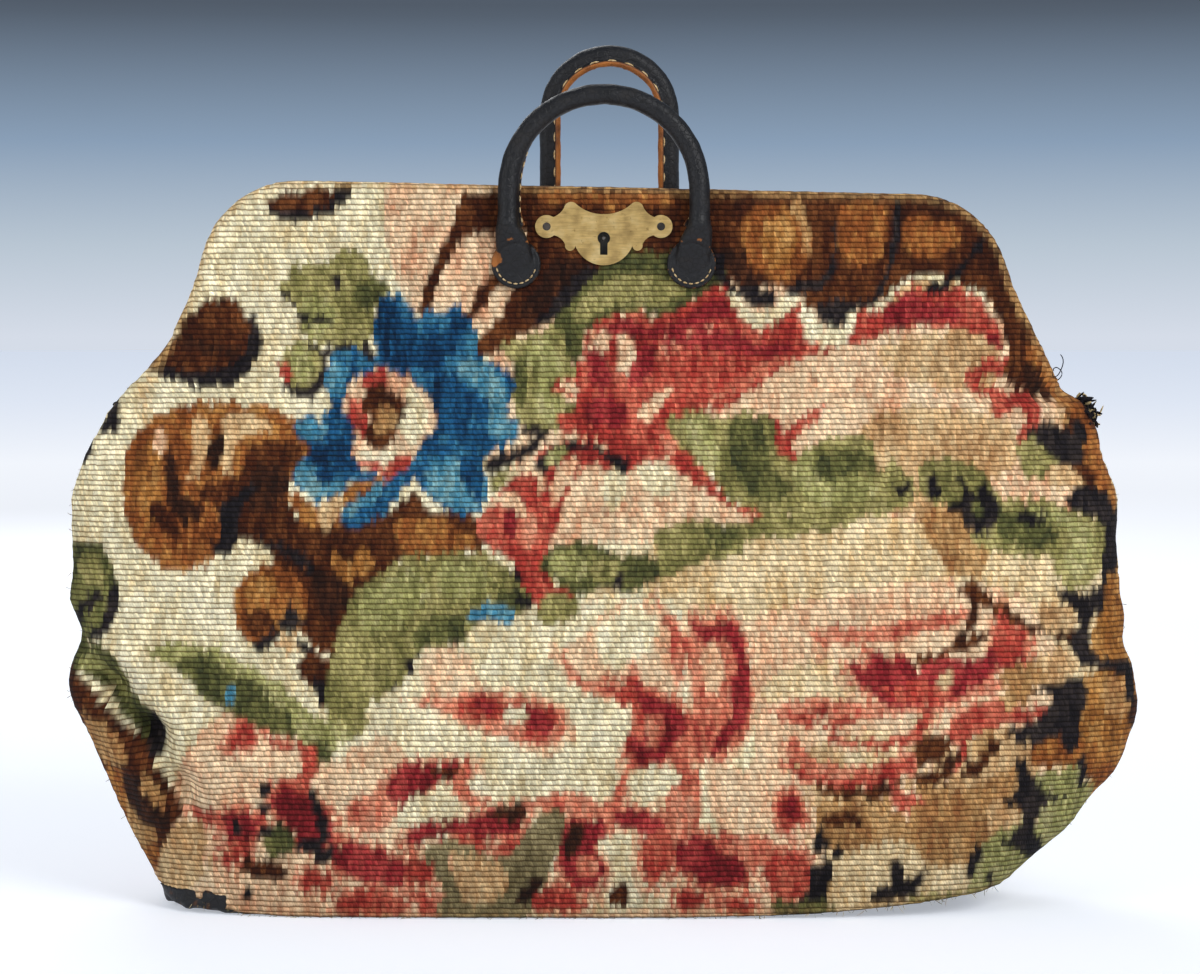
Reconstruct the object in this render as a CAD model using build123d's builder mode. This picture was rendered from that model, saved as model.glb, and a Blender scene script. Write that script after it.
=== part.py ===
from build123d import *
import os
from math import cos, exp, radians, sin

os.makedirs("parts", exist_ok=True)

# A carpet travelling bag: two faces of looped-pile carpet hang from a pair of iron
# frame halves that lap at two rivets, and the whole stands on a soft black leather base.
# X runs along the bag, -Y is the front with the lock, +Z is up, and the origin is the
# middle of the base where it touches the floor. All sizes are in millimetres.

# Cloth, leather and iron stock
carpet_thickness = 3.5
lining_thickness = 0.8
leather_thickness = 2.5
board_thickness = 2.5
iron_thickness = 2.5
iron_width = 10.5
cloth_clearance = 0.2
sheet_clearance = 0.1

# Hinge: the feet of the frame halves lap here and turn on one rivet at each end
hinge_height = 264.0
front_foot = 237.0
lap_clearance = 0.3
eye_radius = 6.5
web_rise = 8.0
web_step = 1.0
pin_radius = 2.5
pin_clearance = 0.05
pin_head_radius = 4.5
pin_head_thickness = 1.5
half_gap = 0.5

# Arch of the frame, bent with use so that its left corner stands higher than the right
foot_rise = 10.0
knee_half_width = 212.5
knee_height = 325.0
corner_left = 198.0
corner_left_height = 380.0
corner_right = 197.0
corner_right_height = 371.5
corner_radius = 48.0
knee_radius = 120.0
foot_radius = 12.0

# Carpet hung below the hinge: widths are measured from the middle of the lock
mouth_gap = 0.5
mouth_left = 262.0
mouth_right = 258.0
mouth_half_depth = 21.5
belly_left = 280.0
belly_right = 281.0
belly_half_depth = 60.0
base_left = 228.0
base_right = 195.0
base_half_depth = 54.0
gusset_fold = 26.0
gusset_bulge = 0.36
seam_gap = 0.3
cover_lip = 4.0
hem_gap = 2.5
hem_step = 1.0
knot_radius = 8.0
knot_drop = 7.0
knot_foot = 1.0

# Leather base: flat in the middle, its ends lifted by wear
base_flat_left = 190.0
base_flat_right = 60.0
base_reach = 300.0
left_lift = 12.0
right_lift = 35.0
base_rim = 12.0
floor_gap = 0.4
lining_hang = 3.2
lining_drop = 16.5

# Rolled leather handles, each sewn to its face by two round tabs
roll_radius = 6.25
core_radius = 3.9
core_clearance = 0.1
keel_height = 3.0
keel_thickness = 3.6
tab_radius = 13.0
tab_thickness = 3.0
tab_edge = 0.8
flare_length = 20.0
flare_half_width = 9.0
flare_half_depth = 4.1
flare_end_half_width = 7.5
flare_end_half_depth = 1.6
flare_clearance = 0.5
flare_middle_rise = 8.0
flare_end_drop = 4.0
handle_lean = 4.0
front_tab_height = 339.0
front_tab_reach = 46.0
front_leg_reach = 50.0
front_arch_rise = 35.0
rear_tab_height = 339.0
rear_tab_reach = 32.0
rear_leg_reach = 32.0
rear_arch_rise = 72.0
rear_handle_shift = 3.0

# Lock: brass plate outside, iron case behind the carpet, bolt shot sideways by the key
lock_height = 352.5
plate_thickness = 1.2
lobe_reach = 30.0
lobe_rise = 6.1
lobe_radius = 6.0
belly_drop = 14.2
belly_chord = 15.0
plate_crown = 12.6
cusp_reach = 14.3
cusp_rise = 17.7
crown_dip = (-8.0, 13.9)
ear_top = (-17.8, 18.9)
ear_end = (-20.8, 16.0)
shoulder = (-22.9, 13.2)
neck_middle = (-22.5, -0.2)
neck_end = (-20.3, -3.3)
bead_low = (-18.6, -6.4)
bead_rise = -4.0
belly_side = (-9.3, -11.2)
lobe_top_turn = 55.0
lobe_low_turn = 50.0
keyhole_radius = 3.3
keyhole_slot = 3.9
keyhole_drop = 8.7
backplate_half_length = 35.0
backplate_below = 12.5
backplate_above = 16.5
backplate_corner = 2.0
case_left = 22.0
case_right = 15.0
case_wall = 1.0
case_depth = 7.6
case_margin = 1.5
backplate_thickness = 1.2
bolt_rise = 7.5
bolt_back_gap = 0.8
bolt_height = 5.0
bolt_width = 3.0
bolt_length = 24.0
bolt_clearance = 0.08
talon_half_width = 2.6
talon_depth = 1.8
spring_thickness = 0.5
spring_width = 4.0
spring_half_length = 12.0
drill_pin_radius = 1.1
drill_pin_sink = 0.6
rivet_radius = 2.1
rivet_clearance = 0.05
rivet_sink = 0.3
rivet_head_radius = 3.2
rivet_head_height = 0.9
staple_gap = 2.0
staple_thickness = 2.0
staple_margin = 1.5
staple_slack = 0.4
staple_foot_length = 18.0
staple_foot_thickness = 1.5
staple_rivet_radius = 1.2
staple_rivet_head = 2.2
staple_rivet_head_height = 0.8

# Places worked out from the sizes above
rear_foot = front_foot - iron_thickness - lap_clearance
iron_back = half_gap + iron_width
cover_back = iron_back + cloth_clearance
cover_face = cover_back + carpet_thickness
mouth_top = hinge_height - cover_lip - mouth_gap
knot_face = front_foot + sheet_clearance + pin_head_thickness + seam_gap
gather_face = front_foot + cloth_clearance + carpet_thickness + 2 * seam_gap
web_top = hinge_height + web_rise
hem_end = hinge_height + eye_radius + hem_gap
plate_back = cover_face + cloth_clearance
plate_front = plate_back + plate_thickness
backplate_back = iron_back - backplate_thickness
case_front = backplate_back - sheet_clearance
case_back = case_front - case_depth
case_bottom = case_margin - backplate_below
case_top = backplate_above - case_margin
bolt_depth = case_back + case_wall + bolt_back_gap + bolt_width / 2
FRONT = 1
REAR = -1

# Outline of the hung carpet from its mouth down to the base: share of the height, shares of
# the belly's left, right and half depth, share of the gusset fold, squareness left and right
BODY_LEVELS = [
    (0.925, 0.971, 0.925, 0.45, 0.25, 6.0, 6.0),
    (0.840, 0.996, 0.957, 0.60, 0.45, 4.5, 4.5),
    (0.750, 0.998, 0.954, 0.72, 0.62, 3.8, 3.8),
    (0.630, 1.000, 0.965, 0.84, 0.77, 3.4, 3.4),
    (0.520, 1.000, 0.982, 0.92, 0.92, 3.2, 3.2),
    (0.405, 0.989, 1.000, 0.98, 1.00, 3.0, 3.2),
    (0.297, 0.964, 0.964, 1.00, 1.00, 2.6, 3.2),
    (0.177, 0.925, 0.877, 0.98, 0.85, 2.4, 3.3),
    (0.085, 0.868, 0.779, 0.95, 0.45, 2.8, 3.8),
]
SECTION_ANGLES = (0, 5, 16, 30, 45, 60, 75, 90)


def body_levels():
    """Sizes of the hung carpet at each level, top first, as height, left, right, depth and shape."""
    mouth = (mouth_left, mouth_right, mouth_half_depth, 0.0, 8.0, 8.0)
    base = (base_left, base_right, base_half_depth, 0.0, 4.0, 5.0)
    levels = [(mouth_top + cover_lip, *mouth), (mouth_top, *mouth)]
    for share, left, right, depth, fold, square_left, square_right in BODY_LEVELS:
        sizes = (left * belly_left, right * belly_right, depth * belly_half_depth)
        levels.append((share * mouth_top, *sizes, fold * gusset_fold, square_left, square_right))
    levels += [(0.0, *base), (-cover_lip, *base)]
    return levels


def section_points(left, right, depth, fold, square_left, square_right, inset):
    """Points round one level: rounded ends, each pushed in at the middle by the gusset fold."""
    quarters = [(right, square_right, 0, 1), (left, square_left, 180, -1)]
    quarters += [(left, square_left, 180, 1), (right, square_right, 360, -1)]
    points = []
    for width, square, start, way in quarters:
        steps = SECTION_ANGLES if way > 0 else SECTION_ANGLES[::-1]
        for step in steps[:-1]:
            angle = radians(start + way * step)
            across = cos(angle)
            along = sin(angle)
            reach = (width + gusset_bulge * fold - inset) * abs(across) ** (2 / square)
            y = (depth - inset) * abs(along) ** (2 / square) * (1 if along > 0 else -1)
            valley = fold * exp(-((y / (0.3 * depth)) ** 2))
            x = (reach - valley) * (1 if across > 0 else -1)
            points.append((x, y))
    return points


def bag_form(inset):
    """The solid inside the hung carpet's outer face, taken in by inset all round."""
    with BuildPart() as form:
        for height, *sizes in body_levels():
            with BuildSketch(Plane.XY.offset(height)):
                with BuildLine():
                    Spline(*section_points(*sizes, inset), periodic=True)
                make_face()
        loft()
    return form.part


def above_floor(lift, top):
    """The space over the base's lower face raised by lift, up to a level plane."""
    with BuildPart() as space:
        with BuildSketch(Plane.XZ):
            with BuildLine():
                flat = Line((-base_flat_left, lift), (base_flat_right, lift))
                left = TangentArc(flat @ 0, (-base_reach, lift + left_lift), tangent=(-1, 0))
                right = TangentArc(flat @ 1, (base_reach, lift + right_lift), tangent=(1, 0))
                Polyline(left @ 1, (-base_reach, top), (base_reach, top), right @ 1)
            make_face()
        extrude(amount=2 * belly_half_depth, both=True)
    return space.part


def arch_area(foot, grow, bottom):
    """The area under the frame's arch down to a level, its outer edge moved out by grow."""
    feet_top = hinge_height + foot_rise
    drop = bottom - 2 * iron_width
    with BuildSketch() as area:
        with BuildLine():
            arch = FilletPolyline(
                (-foot, drop),
                (-foot, feet_top),
                (-knee_half_width, knee_height),
                (-corner_left, corner_left_height),
                (corner_right, corner_right_height),
                (knee_half_width, knee_height),
                (foot, feet_top),
                (foot, drop),
                radius=[foot_radius, knee_radius, corner_radius, corner_radius, knee_radius, foot_radius],
            )
            Line(arch @ 0, arch @ 1)
        make_face()
        if grow:
            offset(amount=grow, kind=Kind.ARC)
        with Locations((0, bottom)):
            Rectangle(4 * foot, 4 * iron_width, align=(Align.CENTER, Align.MAX), mode=Mode.SUBTRACT)
    return area.sketch


def lock_plane(depth):
    """An upright plane facing the front at a depth from the middle, centred on the keyhole."""
    return Plane(origin=(0, -depth, lock_height), x_dir=(1, 0, 0), z_dir=(0, -1, 0))


def keyhole_area(margin):
    """The keyhole, a round head over a straight slot, let out by a margin."""
    with BuildSketch() as hole:
        Circle(keyhole_radius + margin)
        Rectangle(keyhole_slot + 2 * margin, keyhole_drop + margin, align=(Align.CENTER, Align.MAX))
    return hole.sketch


def arch_top(x):
    """Height of the top bar's upper face at a place along the bag."""
    fall = (corner_left_height - corner_right_height) / (corner_left + corner_right)
    return corner_left_height - fall * (x + corner_left)


def staple_rivet_places():
    """Where the staple's foot is riveted under the rear half's top bar."""
    middle = case_right + staple_gap + staple_thickness / 2
    depth = half_gap + iron_width / 2
    return [(middle - staple_foot_length / 3, depth), (middle + staple_foot_length / 3, depth)]


def frame_half(side, foot):
    """One iron half: a flat strip bent to the arch, its feet ending in eyes on the hinge line."""
    with BuildPart() as half:
        with BuildSketch(Plane.XZ.offset(side * half_gap)):
            add(arch_area(foot, 0, web_top))
            add(arch_area(foot, -iron_thickness, web_top - web_step), mode=Mode.SUBTRACT)
        extrude(amount=side * iron_width)
        for face in (foot - iron_thickness, -foot):
            with BuildSketch(Plane.YZ.offset(face)):
                with Locations((0, hinge_height)):
                    Circle(eye_radius)
                with Locations((-side * (half_gap + iron_width / 2), web_top)):
                    Rectangle(iron_width, web_step, align=(Align.CENTER, Align.MAX))
                make_hull()
                with Locations((0, hinge_height)):
                    Circle(pin_radius + pin_clearance, mode=Mode.SUBTRACT)
            extrude(amount=iron_thickness)
        if side == REAR:
            with BuildSketch(Plane.XY.offset(corner_left_height)):
                with Locations(*staple_rivet_places()):
                    Circle(staple_rivet_radius + rivet_clearance)
            extrude(amount=-corner_radius, mode=Mode.SUBTRACT)
    return half.part


def cover_half(side, foot):
    """The carpet over one half: a flat face and a hem turned over the strip's outer edge."""
    with BuildPart() as cover:
        with BuildSketch(Plane.XZ.offset(side * cover_back)) as face:
            add(arch_area(foot, cloth_clearance + carpet_thickness, hinge_height - cover_lip))
            fillet(face.vertices().group_by(Axis.Y)[0], radius=2 * cover_lip)
        extrude(amount=side * carpet_thickness)
        with BuildSketch(Plane.XZ.offset(side * half_gap)):
            add(arch_area(foot, cloth_clearance + carpet_thickness, hem_end))
            add(arch_area(foot, cloth_clearance, hem_end - hem_step), mode=Mode.SUBTRACT)
        extrude(amount=side * (cover_back - half_gap))
        if side == FRONT:
            with BuildSketch(lock_plane(cover_back)):
                add(keyhole_area(cloth_clearance))
                with Locations((-lobe_reach, lobe_rise), (lobe_reach, lobe_rise)):
                    Circle(rivet_radius + cloth_clearance)
            extrude(amount=carpet_thickness, mode=Mode.SUBTRACT)
    return cover.part


def top_lining(side, foot):
    """The cloth behind one cover, cut away round the lock on the front half."""
    with BuildPart() as cloth:
        with BuildSketch(Plane.XZ.offset(side * (cover_back - lining_thickness - cloth_clearance))):
            add(arch_area(foot, -iron_thickness - cloth_clearance, web_top))
            if side == FRONT:
                with Locations((0, lock_height + (backplate_above - backplate_below) / 2)):
                    window_length = 2 * (backplate_half_length + cloth_clearance)
                    window_height = backplate_above + backplate_below + 2 * cloth_clearance
                    Rectangle(window_length, window_height, mode=Mode.SUBTRACT)
        extrude(amount=side * lining_thickness)
    return cloth.part


def panel_half(side):
    """One face of carpet below the hinge, its gathered gusset ends knotted over the rivets."""
    with BuildPart() as panel:
        add(bag_outer)
        add(bag_inner, mode=Mode.SUBTRACT)
        add(above_floor(floor_gap, mouth_top), mode=Mode.INTERSECT)
        for end, mouth_end in ((-1, mouth_left), (1, mouth_right)):
            with BuildSketch(Plane.YZ.offset(end * knot_face)):
                with Locations((0, hinge_height)):
                    Circle(knot_radius)
            extrude(amount=end * (mouth_end - knot_face))
            with BuildSketch(Plane.YZ.offset(end * gather_face)):
                with Locations((0, hinge_height)):
                    Circle(knot_radius)
                with Locations((0, mouth_top - knot_drop)):
                    Rectangle(2 * knot_radius, knot_foot)
                make_hull()
            extrude(amount=end * (mouth_end - gather_face))
        split(bisect_by=Plane.XZ.offset(side * seam_gap), keep=Keep.TOP if side == FRONT else Keep.BOTTOM)
    return panel.part


def handle_plane(side, tab_height, shift):
    """The plane of one handle, standing off its face and leaning in over the frame."""
    lean = radians(handle_lean)
    lean_room = (corner_left_height + carpet_thickness - tab_height - flare_length) * sin(lean)
    stand_off = cover_face + cloth_clearance + lean_room + roll_radius
    return Plane(
        origin=(shift, -side * stand_off, tab_height + flare_length),
        x_dir=(1, 0, 0),
        z_dir=(0, -cos(lean), side * sin(lean)),
    )


def handle_path(plane, leg_reach, arch_rise):
    """The middle line of the roll: two legs joined by a half circle."""
    with BuildLine(plane) as path:
        left = Line((-leg_reach, 0), (-leg_reach, arch_rise - flare_length))
        arch = CenterArc((0, arch_rise - flare_length), leg_reach, 180, -180)
        Line(arch @ 1, (leg_reach, 0))
    return path.wire()


def leather_handle(side, plane, path, tab_height, tab_reach, leg_reach, shift):
    """Leather rolled round a cord, with its sewn keel inwards and both ends flared to a tab."""
    leg = Plane(origin=path @ 0, x_dir=(1, 0, 0), z_dir=path % 0)
    tab_back = cover_face + sheet_clearance
    with BuildPart() as handle:
        for end in (-1, 1):
            with BuildSketch(Plane.XZ.offset(side * tab_back)):
                with Locations((shift + end * tab_reach, tab_height)):
                    Circle(tab_radius)
            extrude(amount=side * tab_thickness)
        rims = handle.edges().filter_by(GeomType.CIRCLE).group_by(Axis.Y)
        chamfer(rims[0] if side == FRONT else rims[-1], length=tab_edge)
        with BuildSketch(leg):
            Circle(roll_radius)
            with Locations((roll_radius, 0)):
                Rectangle(2 * keel_height, keel_thickness)
        sweep(path=path)
        for end in (-1, 1):
            foot = path @ 0 if end < 0 else path @ 1
            middle = tab_back + flare_clearance + flare_half_depth
            low = tab_back + flare_clearance + flare_end_half_depth
            with BuildSketch(Plane(origin=foot, x_dir=(1, 0, 0), z_dir=plane.y_dir)):
                Circle(roll_radius)
            with BuildSketch(Plane.XY.offset(tab_height + flare_middle_rise)):
                with Locations((shift + end * (2 * tab_reach + leg_reach) / 3, -side * middle)):
                    Ellipse(flare_half_width, flare_half_depth)
            with BuildSketch(Plane.XY.offset(tab_height - flare_end_drop)):
                with Locations((shift + end * tab_reach, -side * low)):
                    Ellipse(flare_end_half_width, flare_end_half_depth)
            loft()
        with BuildSketch(leg):
            Circle(core_radius)
        sweep(path=path, mode=Mode.SUBTRACT)
    return handle.part


def handle_core(path):
    """The cord inside the roll."""
    with BuildPart() as core:
        with BuildSketch(Plane(origin=path @ 0, x_dir=(1, 0, 0), z_dir=path % 0)):
            Circle(core_radius - core_clearance)
        sweep(path=path)
    return core.part


def keep(part, label):
    """Name one finished piece and write it."""
    part.label = label
    export_step(part, f"parts/{label}.step")


# Hung carpet, base and lining: nested forms, each taken in from the one outside it
bag_outer = bag_form(0.0)
bag_inner = bag_form(carpet_thickness)
keep(panel_half(FRONT), "front_panel")
keep(panel_half(REAR), "rear_panel")

rim_inset = carpet_thickness + seam_gap
with BuildPart() as base_leather:
    add(bag_form(rim_inset))
    add(above_floor(0.0, mouth_top), mode=Mode.INTERSECT)
    add(above_floor(base_rim, 2 * mouth_top), mode=Mode.SUBTRACT)
    with BuildPart(mode=Mode.SUBTRACT):
        add(bag_form(rim_inset + leather_thickness))
        add(above_floor(leather_thickness, mouth_top), mode=Mode.INTERSECT)
base_leather.part.label = "base_leather"
export_step(base_leather.part, "parts/base_leather.step")

board_lift = leather_thickness + sheet_clearance
with BuildPart() as base_board:
    add(bag_form(rim_inset + leather_thickness + cloth_clearance))
    add(above_floor(board_lift, mouth_top), mode=Mode.INTERSECT)
    add(above_floor(board_lift + board_thickness, 2 * mouth_top), mode=Mode.SUBTRACT)
base_board.part.label = "base_board"
export_step(base_board.part, "parts/base_board.step")

lining_lift = board_lift + board_thickness + sheet_clearance
lining_inset = carpet_thickness + lining_hang
with BuildPart() as bag_lining:
    add(bag_form(lining_inset))
    add(above_floor(lining_lift, hinge_height - lining_drop), mode=Mode.INTERSECT)
    with BuildPart(mode=Mode.SUBTRACT):
        add(bag_form(lining_inset + lining_thickness))
        add(above_floor(lining_lift + lining_thickness, mouth_top), mode=Mode.INTERSECT)
bag_lining.part.label = "bag_lining"
export_step(bag_lining.part, "parts/bag_lining.step")

# Frame halves, their carpet covers and their linings
keep(frame_half(FRONT, front_foot), "front_frame")
keep(frame_half(REAR, rear_foot), "rear_frame")
keep(cover_half(FRONT, front_foot), "front_panel_top")
keep(cover_half(REAR, rear_foot), "rear_panel_top")
keep(top_lining(FRONT, front_foot), "front_lining_top")
keep(top_lining(REAR, rear_foot), "rear_lining_top")

# Hinge rivets: a shank through both eyes, headed on each side of the lap
for end, side_name in ((-1, "left"), (1, "right")):
    inner_face = rear_foot - iron_thickness - sheet_clearance
    outer_face = front_foot + sheet_clearance
    with BuildPart() as hinge_pin:
        with BuildSketch(Plane.YZ.offset(end * inner_face)):
            with Locations((0, hinge_height)):
                Circle(pin_radius)
        extrude(amount=end * (outer_face - inner_face))
        for face, way in ((inner_face, -1), (outer_face, 1)):
            with BuildSketch(Plane.YZ.offset(end * face)):
                with Locations((0, hinge_height)):
                    Circle(pin_head_radius)
            extrude(amount=end * way * pin_head_thickness)
        fillet(hinge_pin.edges().group_by(Axis.X)[0], radius=pin_head_thickness / 2)
        fillet(hinge_pin.edges().group_by(Axis.X)[-1], radius=pin_head_thickness / 2)
    hinge_pin.part.label = f"hinge_pin_{side_name}"
    export_step(hinge_pin.part, f"parts/hinge_pin_{side_name}.step")

# Handles: the rear one is sewn narrower, so it stands taller
front_plane = handle_plane(FRONT, front_tab_height, 0.0)
front_path = handle_path(front_plane, front_leg_reach, front_arch_rise)
front_sizes = (front_tab_height, front_tab_reach, front_leg_reach, 0.0)
keep(leather_handle(FRONT, front_plane, front_path, *front_sizes), "front_handle")
keep(handle_core(front_path), "front_handle_core")
rear_plane = handle_plane(REAR, rear_tab_height, rear_handle_shift)
rear_path = handle_path(rear_plane, rear_leg_reach, rear_arch_rise)
rear_sizes = (rear_tab_height, rear_tab_reach, rear_leg_reach, rear_handle_shift)
keep(leather_handle(REAR, rear_plane, rear_path, *rear_sizes), "rear_handle")
keep(handle_core(rear_path), "rear_handle_core")

# Lock plate: half the scalloped outline, mirrored about the keyhole
top_turn = radians(lobe_top_turn)
low_turn = radians(lobe_low_turn)
lobe_top = (-lobe_reach + lobe_radius * cos(top_turn), lobe_rise + lobe_radius * sin(top_turn))
lobe_low = (-lobe_reach + lobe_radius * cos(low_turn), lobe_rise - lobe_radius * sin(low_turn))
lobe_end = (-lobe_reach - lobe_radius, lobe_rise)
with BuildPart() as lock_plate:
    with BuildSketch(lock_plane(plate_back)):
        with BuildLine():
            crown = ThreePointArc((0, plate_crown), crown_dip, (-cusp_reach, cusp_rise))
            ear = ThreePointArc(crown @ 1, ear_top, ear_end)
            ThreePointArc(ear @ 1, shoulder, lobe_top)
            ThreePointArc(lobe_top, lobe_end, lobe_low)
            neck = ThreePointArc(lobe_low, neck_middle, neck_end)
            bead = ThreePointArc(neck @ 1, bead_low, (-belly_chord, bead_rise))
            ThreePointArc(bead @ 1, belly_side, (0, -belly_drop))
            mirror(about=Plane.YZ)
        make_face()
        add(keyhole_area(0.0), mode=Mode.SUBTRACT)
        with Locations((-lobe_reach, lobe_rise), (lobe_reach, lobe_rise)):
            Circle(rivet_radius + rivet_clearance, mode=Mode.SUBTRACT)
    extrude(amount=plate_thickness)
lock_plate.part.label = "lock_plate"
export_step(lock_plate.part, "parts/lock_plate.step")

# Lock body behind the carpet: a back plate that closes an open-fronted case
with BuildPart() as lock_backplate:
    with BuildSketch(lock_plane(backplate_back)):
        with Locations((0, (backplate_above - backplate_below) / 2)):
            backplate_width = backplate_above + backplate_below
            RectangleRounded(2 * backplate_half_length, backplate_width, radius=backplate_corner)
        add(keyhole_area(0.0), mode=Mode.SUBTRACT)
        with Locations((-lobe_reach, lobe_rise), (lobe_reach, lobe_rise)):
            Circle(rivet_radius + rivet_clearance, mode=Mode.SUBTRACT)
    extrude(amount=backplate_thickness)
lock_backplate.part.label = "lock_backplate"
export_step(lock_backplate.part, "parts/lock_backplate.step")

case_middle = ((case_right - case_left) / 2, (case_top + case_bottom) / 2)
with BuildPart() as lock_case:
    with BuildSketch(lock_plane(case_back)):
        with Locations(case_middle):
            Rectangle(case_left + case_right, case_top - case_bottom)
    extrude(amount=case_depth)
    with BuildSketch(lock_plane(case_back + case_wall)):
        with Locations(case_middle):
            Rectangle(case_left + case_right - 2 * case_wall, case_top - case_bottom - 2 * case_wall)
    extrude(amount=case_depth, mode=Mode.SUBTRACT)
    with BuildSketch(lock_plane(bolt_depth - bolt_width / 2 - bolt_clearance)):
        with Locations((case_right - case_wall / 2, bolt_rise)):
            Rectangle(2 * case_wall, bolt_height + 2 * bolt_clearance)
    extrude(amount=bolt_width + 2 * bolt_clearance, mode=Mode.SUBTRACT)
lock_case.part.label = "lock_case"
export_step(lock_case.part, "parts/lock_case.step")

# Bolt, drawn back level with the case's side; the key's bit enters the talon under it
with BuildPart() as lock_bolt:
    with BuildSketch(lock_plane(bolt_depth - bolt_width / 2)):
        with Locations((case_right - bolt_length / 2, bolt_rise)):
            Rectangle(bolt_length, bolt_height)
        with Locations((talon_half_width - keyhole_slot, bolt_rise - bolt_height / 2)):
            Rectangle(2 * talon_half_width, 2 * talon_depth, mode=Mode.SUBTRACT)
    extrude(amount=bolt_width)
lock_bolt.part.label = "lock_bolt"
export_step(lock_bolt.part, "parts/lock_bolt.step")

# Leaf spring bowed between the case's roof and the bolt's back
spring_roof = case_top - case_wall - sheet_clearance
spring_floor = bolt_rise + bolt_height / 2 + cloth_clearance
spring_middle = case_wall + sheet_clearance + spring_half_length - case_left
with BuildPart() as lock_spring:
    with BuildSketch(lock_plane(bolt_depth - spring_width / 2)):
        with BuildLine():
            bow_start = (spring_middle - spring_half_length, spring_roof)
            bow_end = (spring_middle + spring_half_length, spring_roof)
            top_bow = ThreePointArc(bow_start, (spring_middle, spring_floor + spring_thickness), bow_end)
            low_start = (bow_start[0], spring_roof - spring_thickness)
            low_end = (bow_end[0], spring_roof - spring_thickness)
            low_bow = ThreePointArc(low_start, (spring_middle, spring_floor), low_end)
            Line(top_bow @ 0, low_bow @ 0)
            Line(top_bow @ 1, low_bow @ 1)
        make_face()
    extrude(amount=spring_width)
lock_spring.part.label = "lock_spring"
export_step(lock_spring.part, "parts/lock_spring.step")

# Drill pin that a piped key turns on, and the two rivets that clamp plate, carpet and back plate
with BuildPart() as lock_drill_pin:
    with BuildSketch(lock_plane(case_back + case_wall)):
        Circle(drill_pin_radius)
    extrude(amount=plate_front - drill_pin_sink - case_back - case_wall)
    chamfer(lock_drill_pin.edges().group_by(Axis.Y)[0], length=drill_pin_radius / 3)
lock_drill_pin.part.label = "lock_drill_pin"
export_step(lock_drill_pin.part, "parts/lock_drill_pin.step")

for end, side_name in ((-1, "left"), (1, "right")):
    with BuildPart() as lock_rivet:
        with BuildSketch(lock_plane(backplate_back - sheet_clearance)):
            with Locations((end * lobe_reach, lobe_rise)):
                Circle(rivet_radius)
        extrude(amount=plate_front - rivet_sink - backplate_back + sheet_clearance)
        with BuildSketch(lock_plane(backplate_back - sheet_clearance)):
            with Locations((end * lobe_reach, lobe_rise)):
                Circle(rivet_head_radius)
        extrude(amount=-rivet_head_height)
        fillet(lock_rivet.edges().group_by(Axis.Y)[-1], radius=rivet_head_height / 2)
    lock_rivet.part.label = f"lock_rivet_{side_name}"
    export_step(lock_rivet.part, f"parts/lock_rivet_{side_name}.step")

# Staple on the rear half: a riveted foot and a tongue with the eye that the bolt enters
staple_face = case_right + staple_gap
staple_middle = staple_face + staple_thickness / 2
foot_top = arch_top(staple_middle + staple_foot_length / 2) - iron_thickness - sheet_clearance
foot_bottom = foot_top - staple_foot_thickness
foot_front = half_gap + sheet_clearance
foot_back = cover_back - lining_thickness - 2 * cloth_clearance
eye_half_width = bolt_width / 2 + staple_slack
eye_half_height = bolt_height / 2 + staple_slack
tongue_tip = -bolt_depth - eye_half_width - staple_margin
tongue_middle = lock_height + bolt_rise
tongue_half = eye_half_height + staple_margin
with BuildPart() as lock_staple:
    with BuildSketch(Plane.XY.offset(foot_bottom)):
        with Locations((staple_middle, (foot_front + foot_back) / 2)):
            Rectangle(staple_foot_length, foot_back - foot_front)
        with Locations(*staple_rivet_places()):
            Circle(staple_rivet_radius + rivet_clearance, mode=Mode.SUBTRACT)
    extrude(amount=staple_foot_thickness)
    with BuildSketch(Plane.YZ.offset(staple_face)):
        with BuildLine():
            Polyline(
                (foot_back, foot_bottom),
                (foot_back, tongue_middle + tongue_half),
                (foot_front, tongue_middle - tongue_half),
                (tongue_tip, tongue_middle - tongue_half),
                (tongue_tip, tongue_middle + tongue_half),
                (foot_front, tongue_middle + tongue_half),
                (foot_front, foot_bottom),
                close=True,
            )
        make_face()
        with Locations((-bolt_depth, tongue_middle)):
            Rectangle(2 * eye_half_width, 2 * eye_half_height, mode=Mode.SUBTRACT)
    extrude(amount=staple_thickness)
lock_staple.part.label = "lock_staple"
export_step(lock_staple.part, "parts/lock_staple.step")

for place, side_name in zip(staple_rivet_places(), ("left", "right")):
    with BuildPart() as staple_rivet:
        with BuildSketch(Plane.XY.offset(foot_bottom - sheet_clearance)):
            with Locations(place):
                Circle(staple_rivet_radius)
        extrude(amount=arch_top(place[0]) - rivet_sink - foot_bottom)
        with BuildSketch(Plane.XY.offset(foot_bottom - sheet_clearance)):
            with Locations(place):
                Circle(staple_rivet_head)
        extrude(amount=-staple_rivet_head_height)
    staple_rivet.part.label = f"staple_rivet_{side_name}"
    export_step(staple_rivet.part, f"parts/staple_rivet_{side_name}.step")
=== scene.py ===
import math
import random

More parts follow.
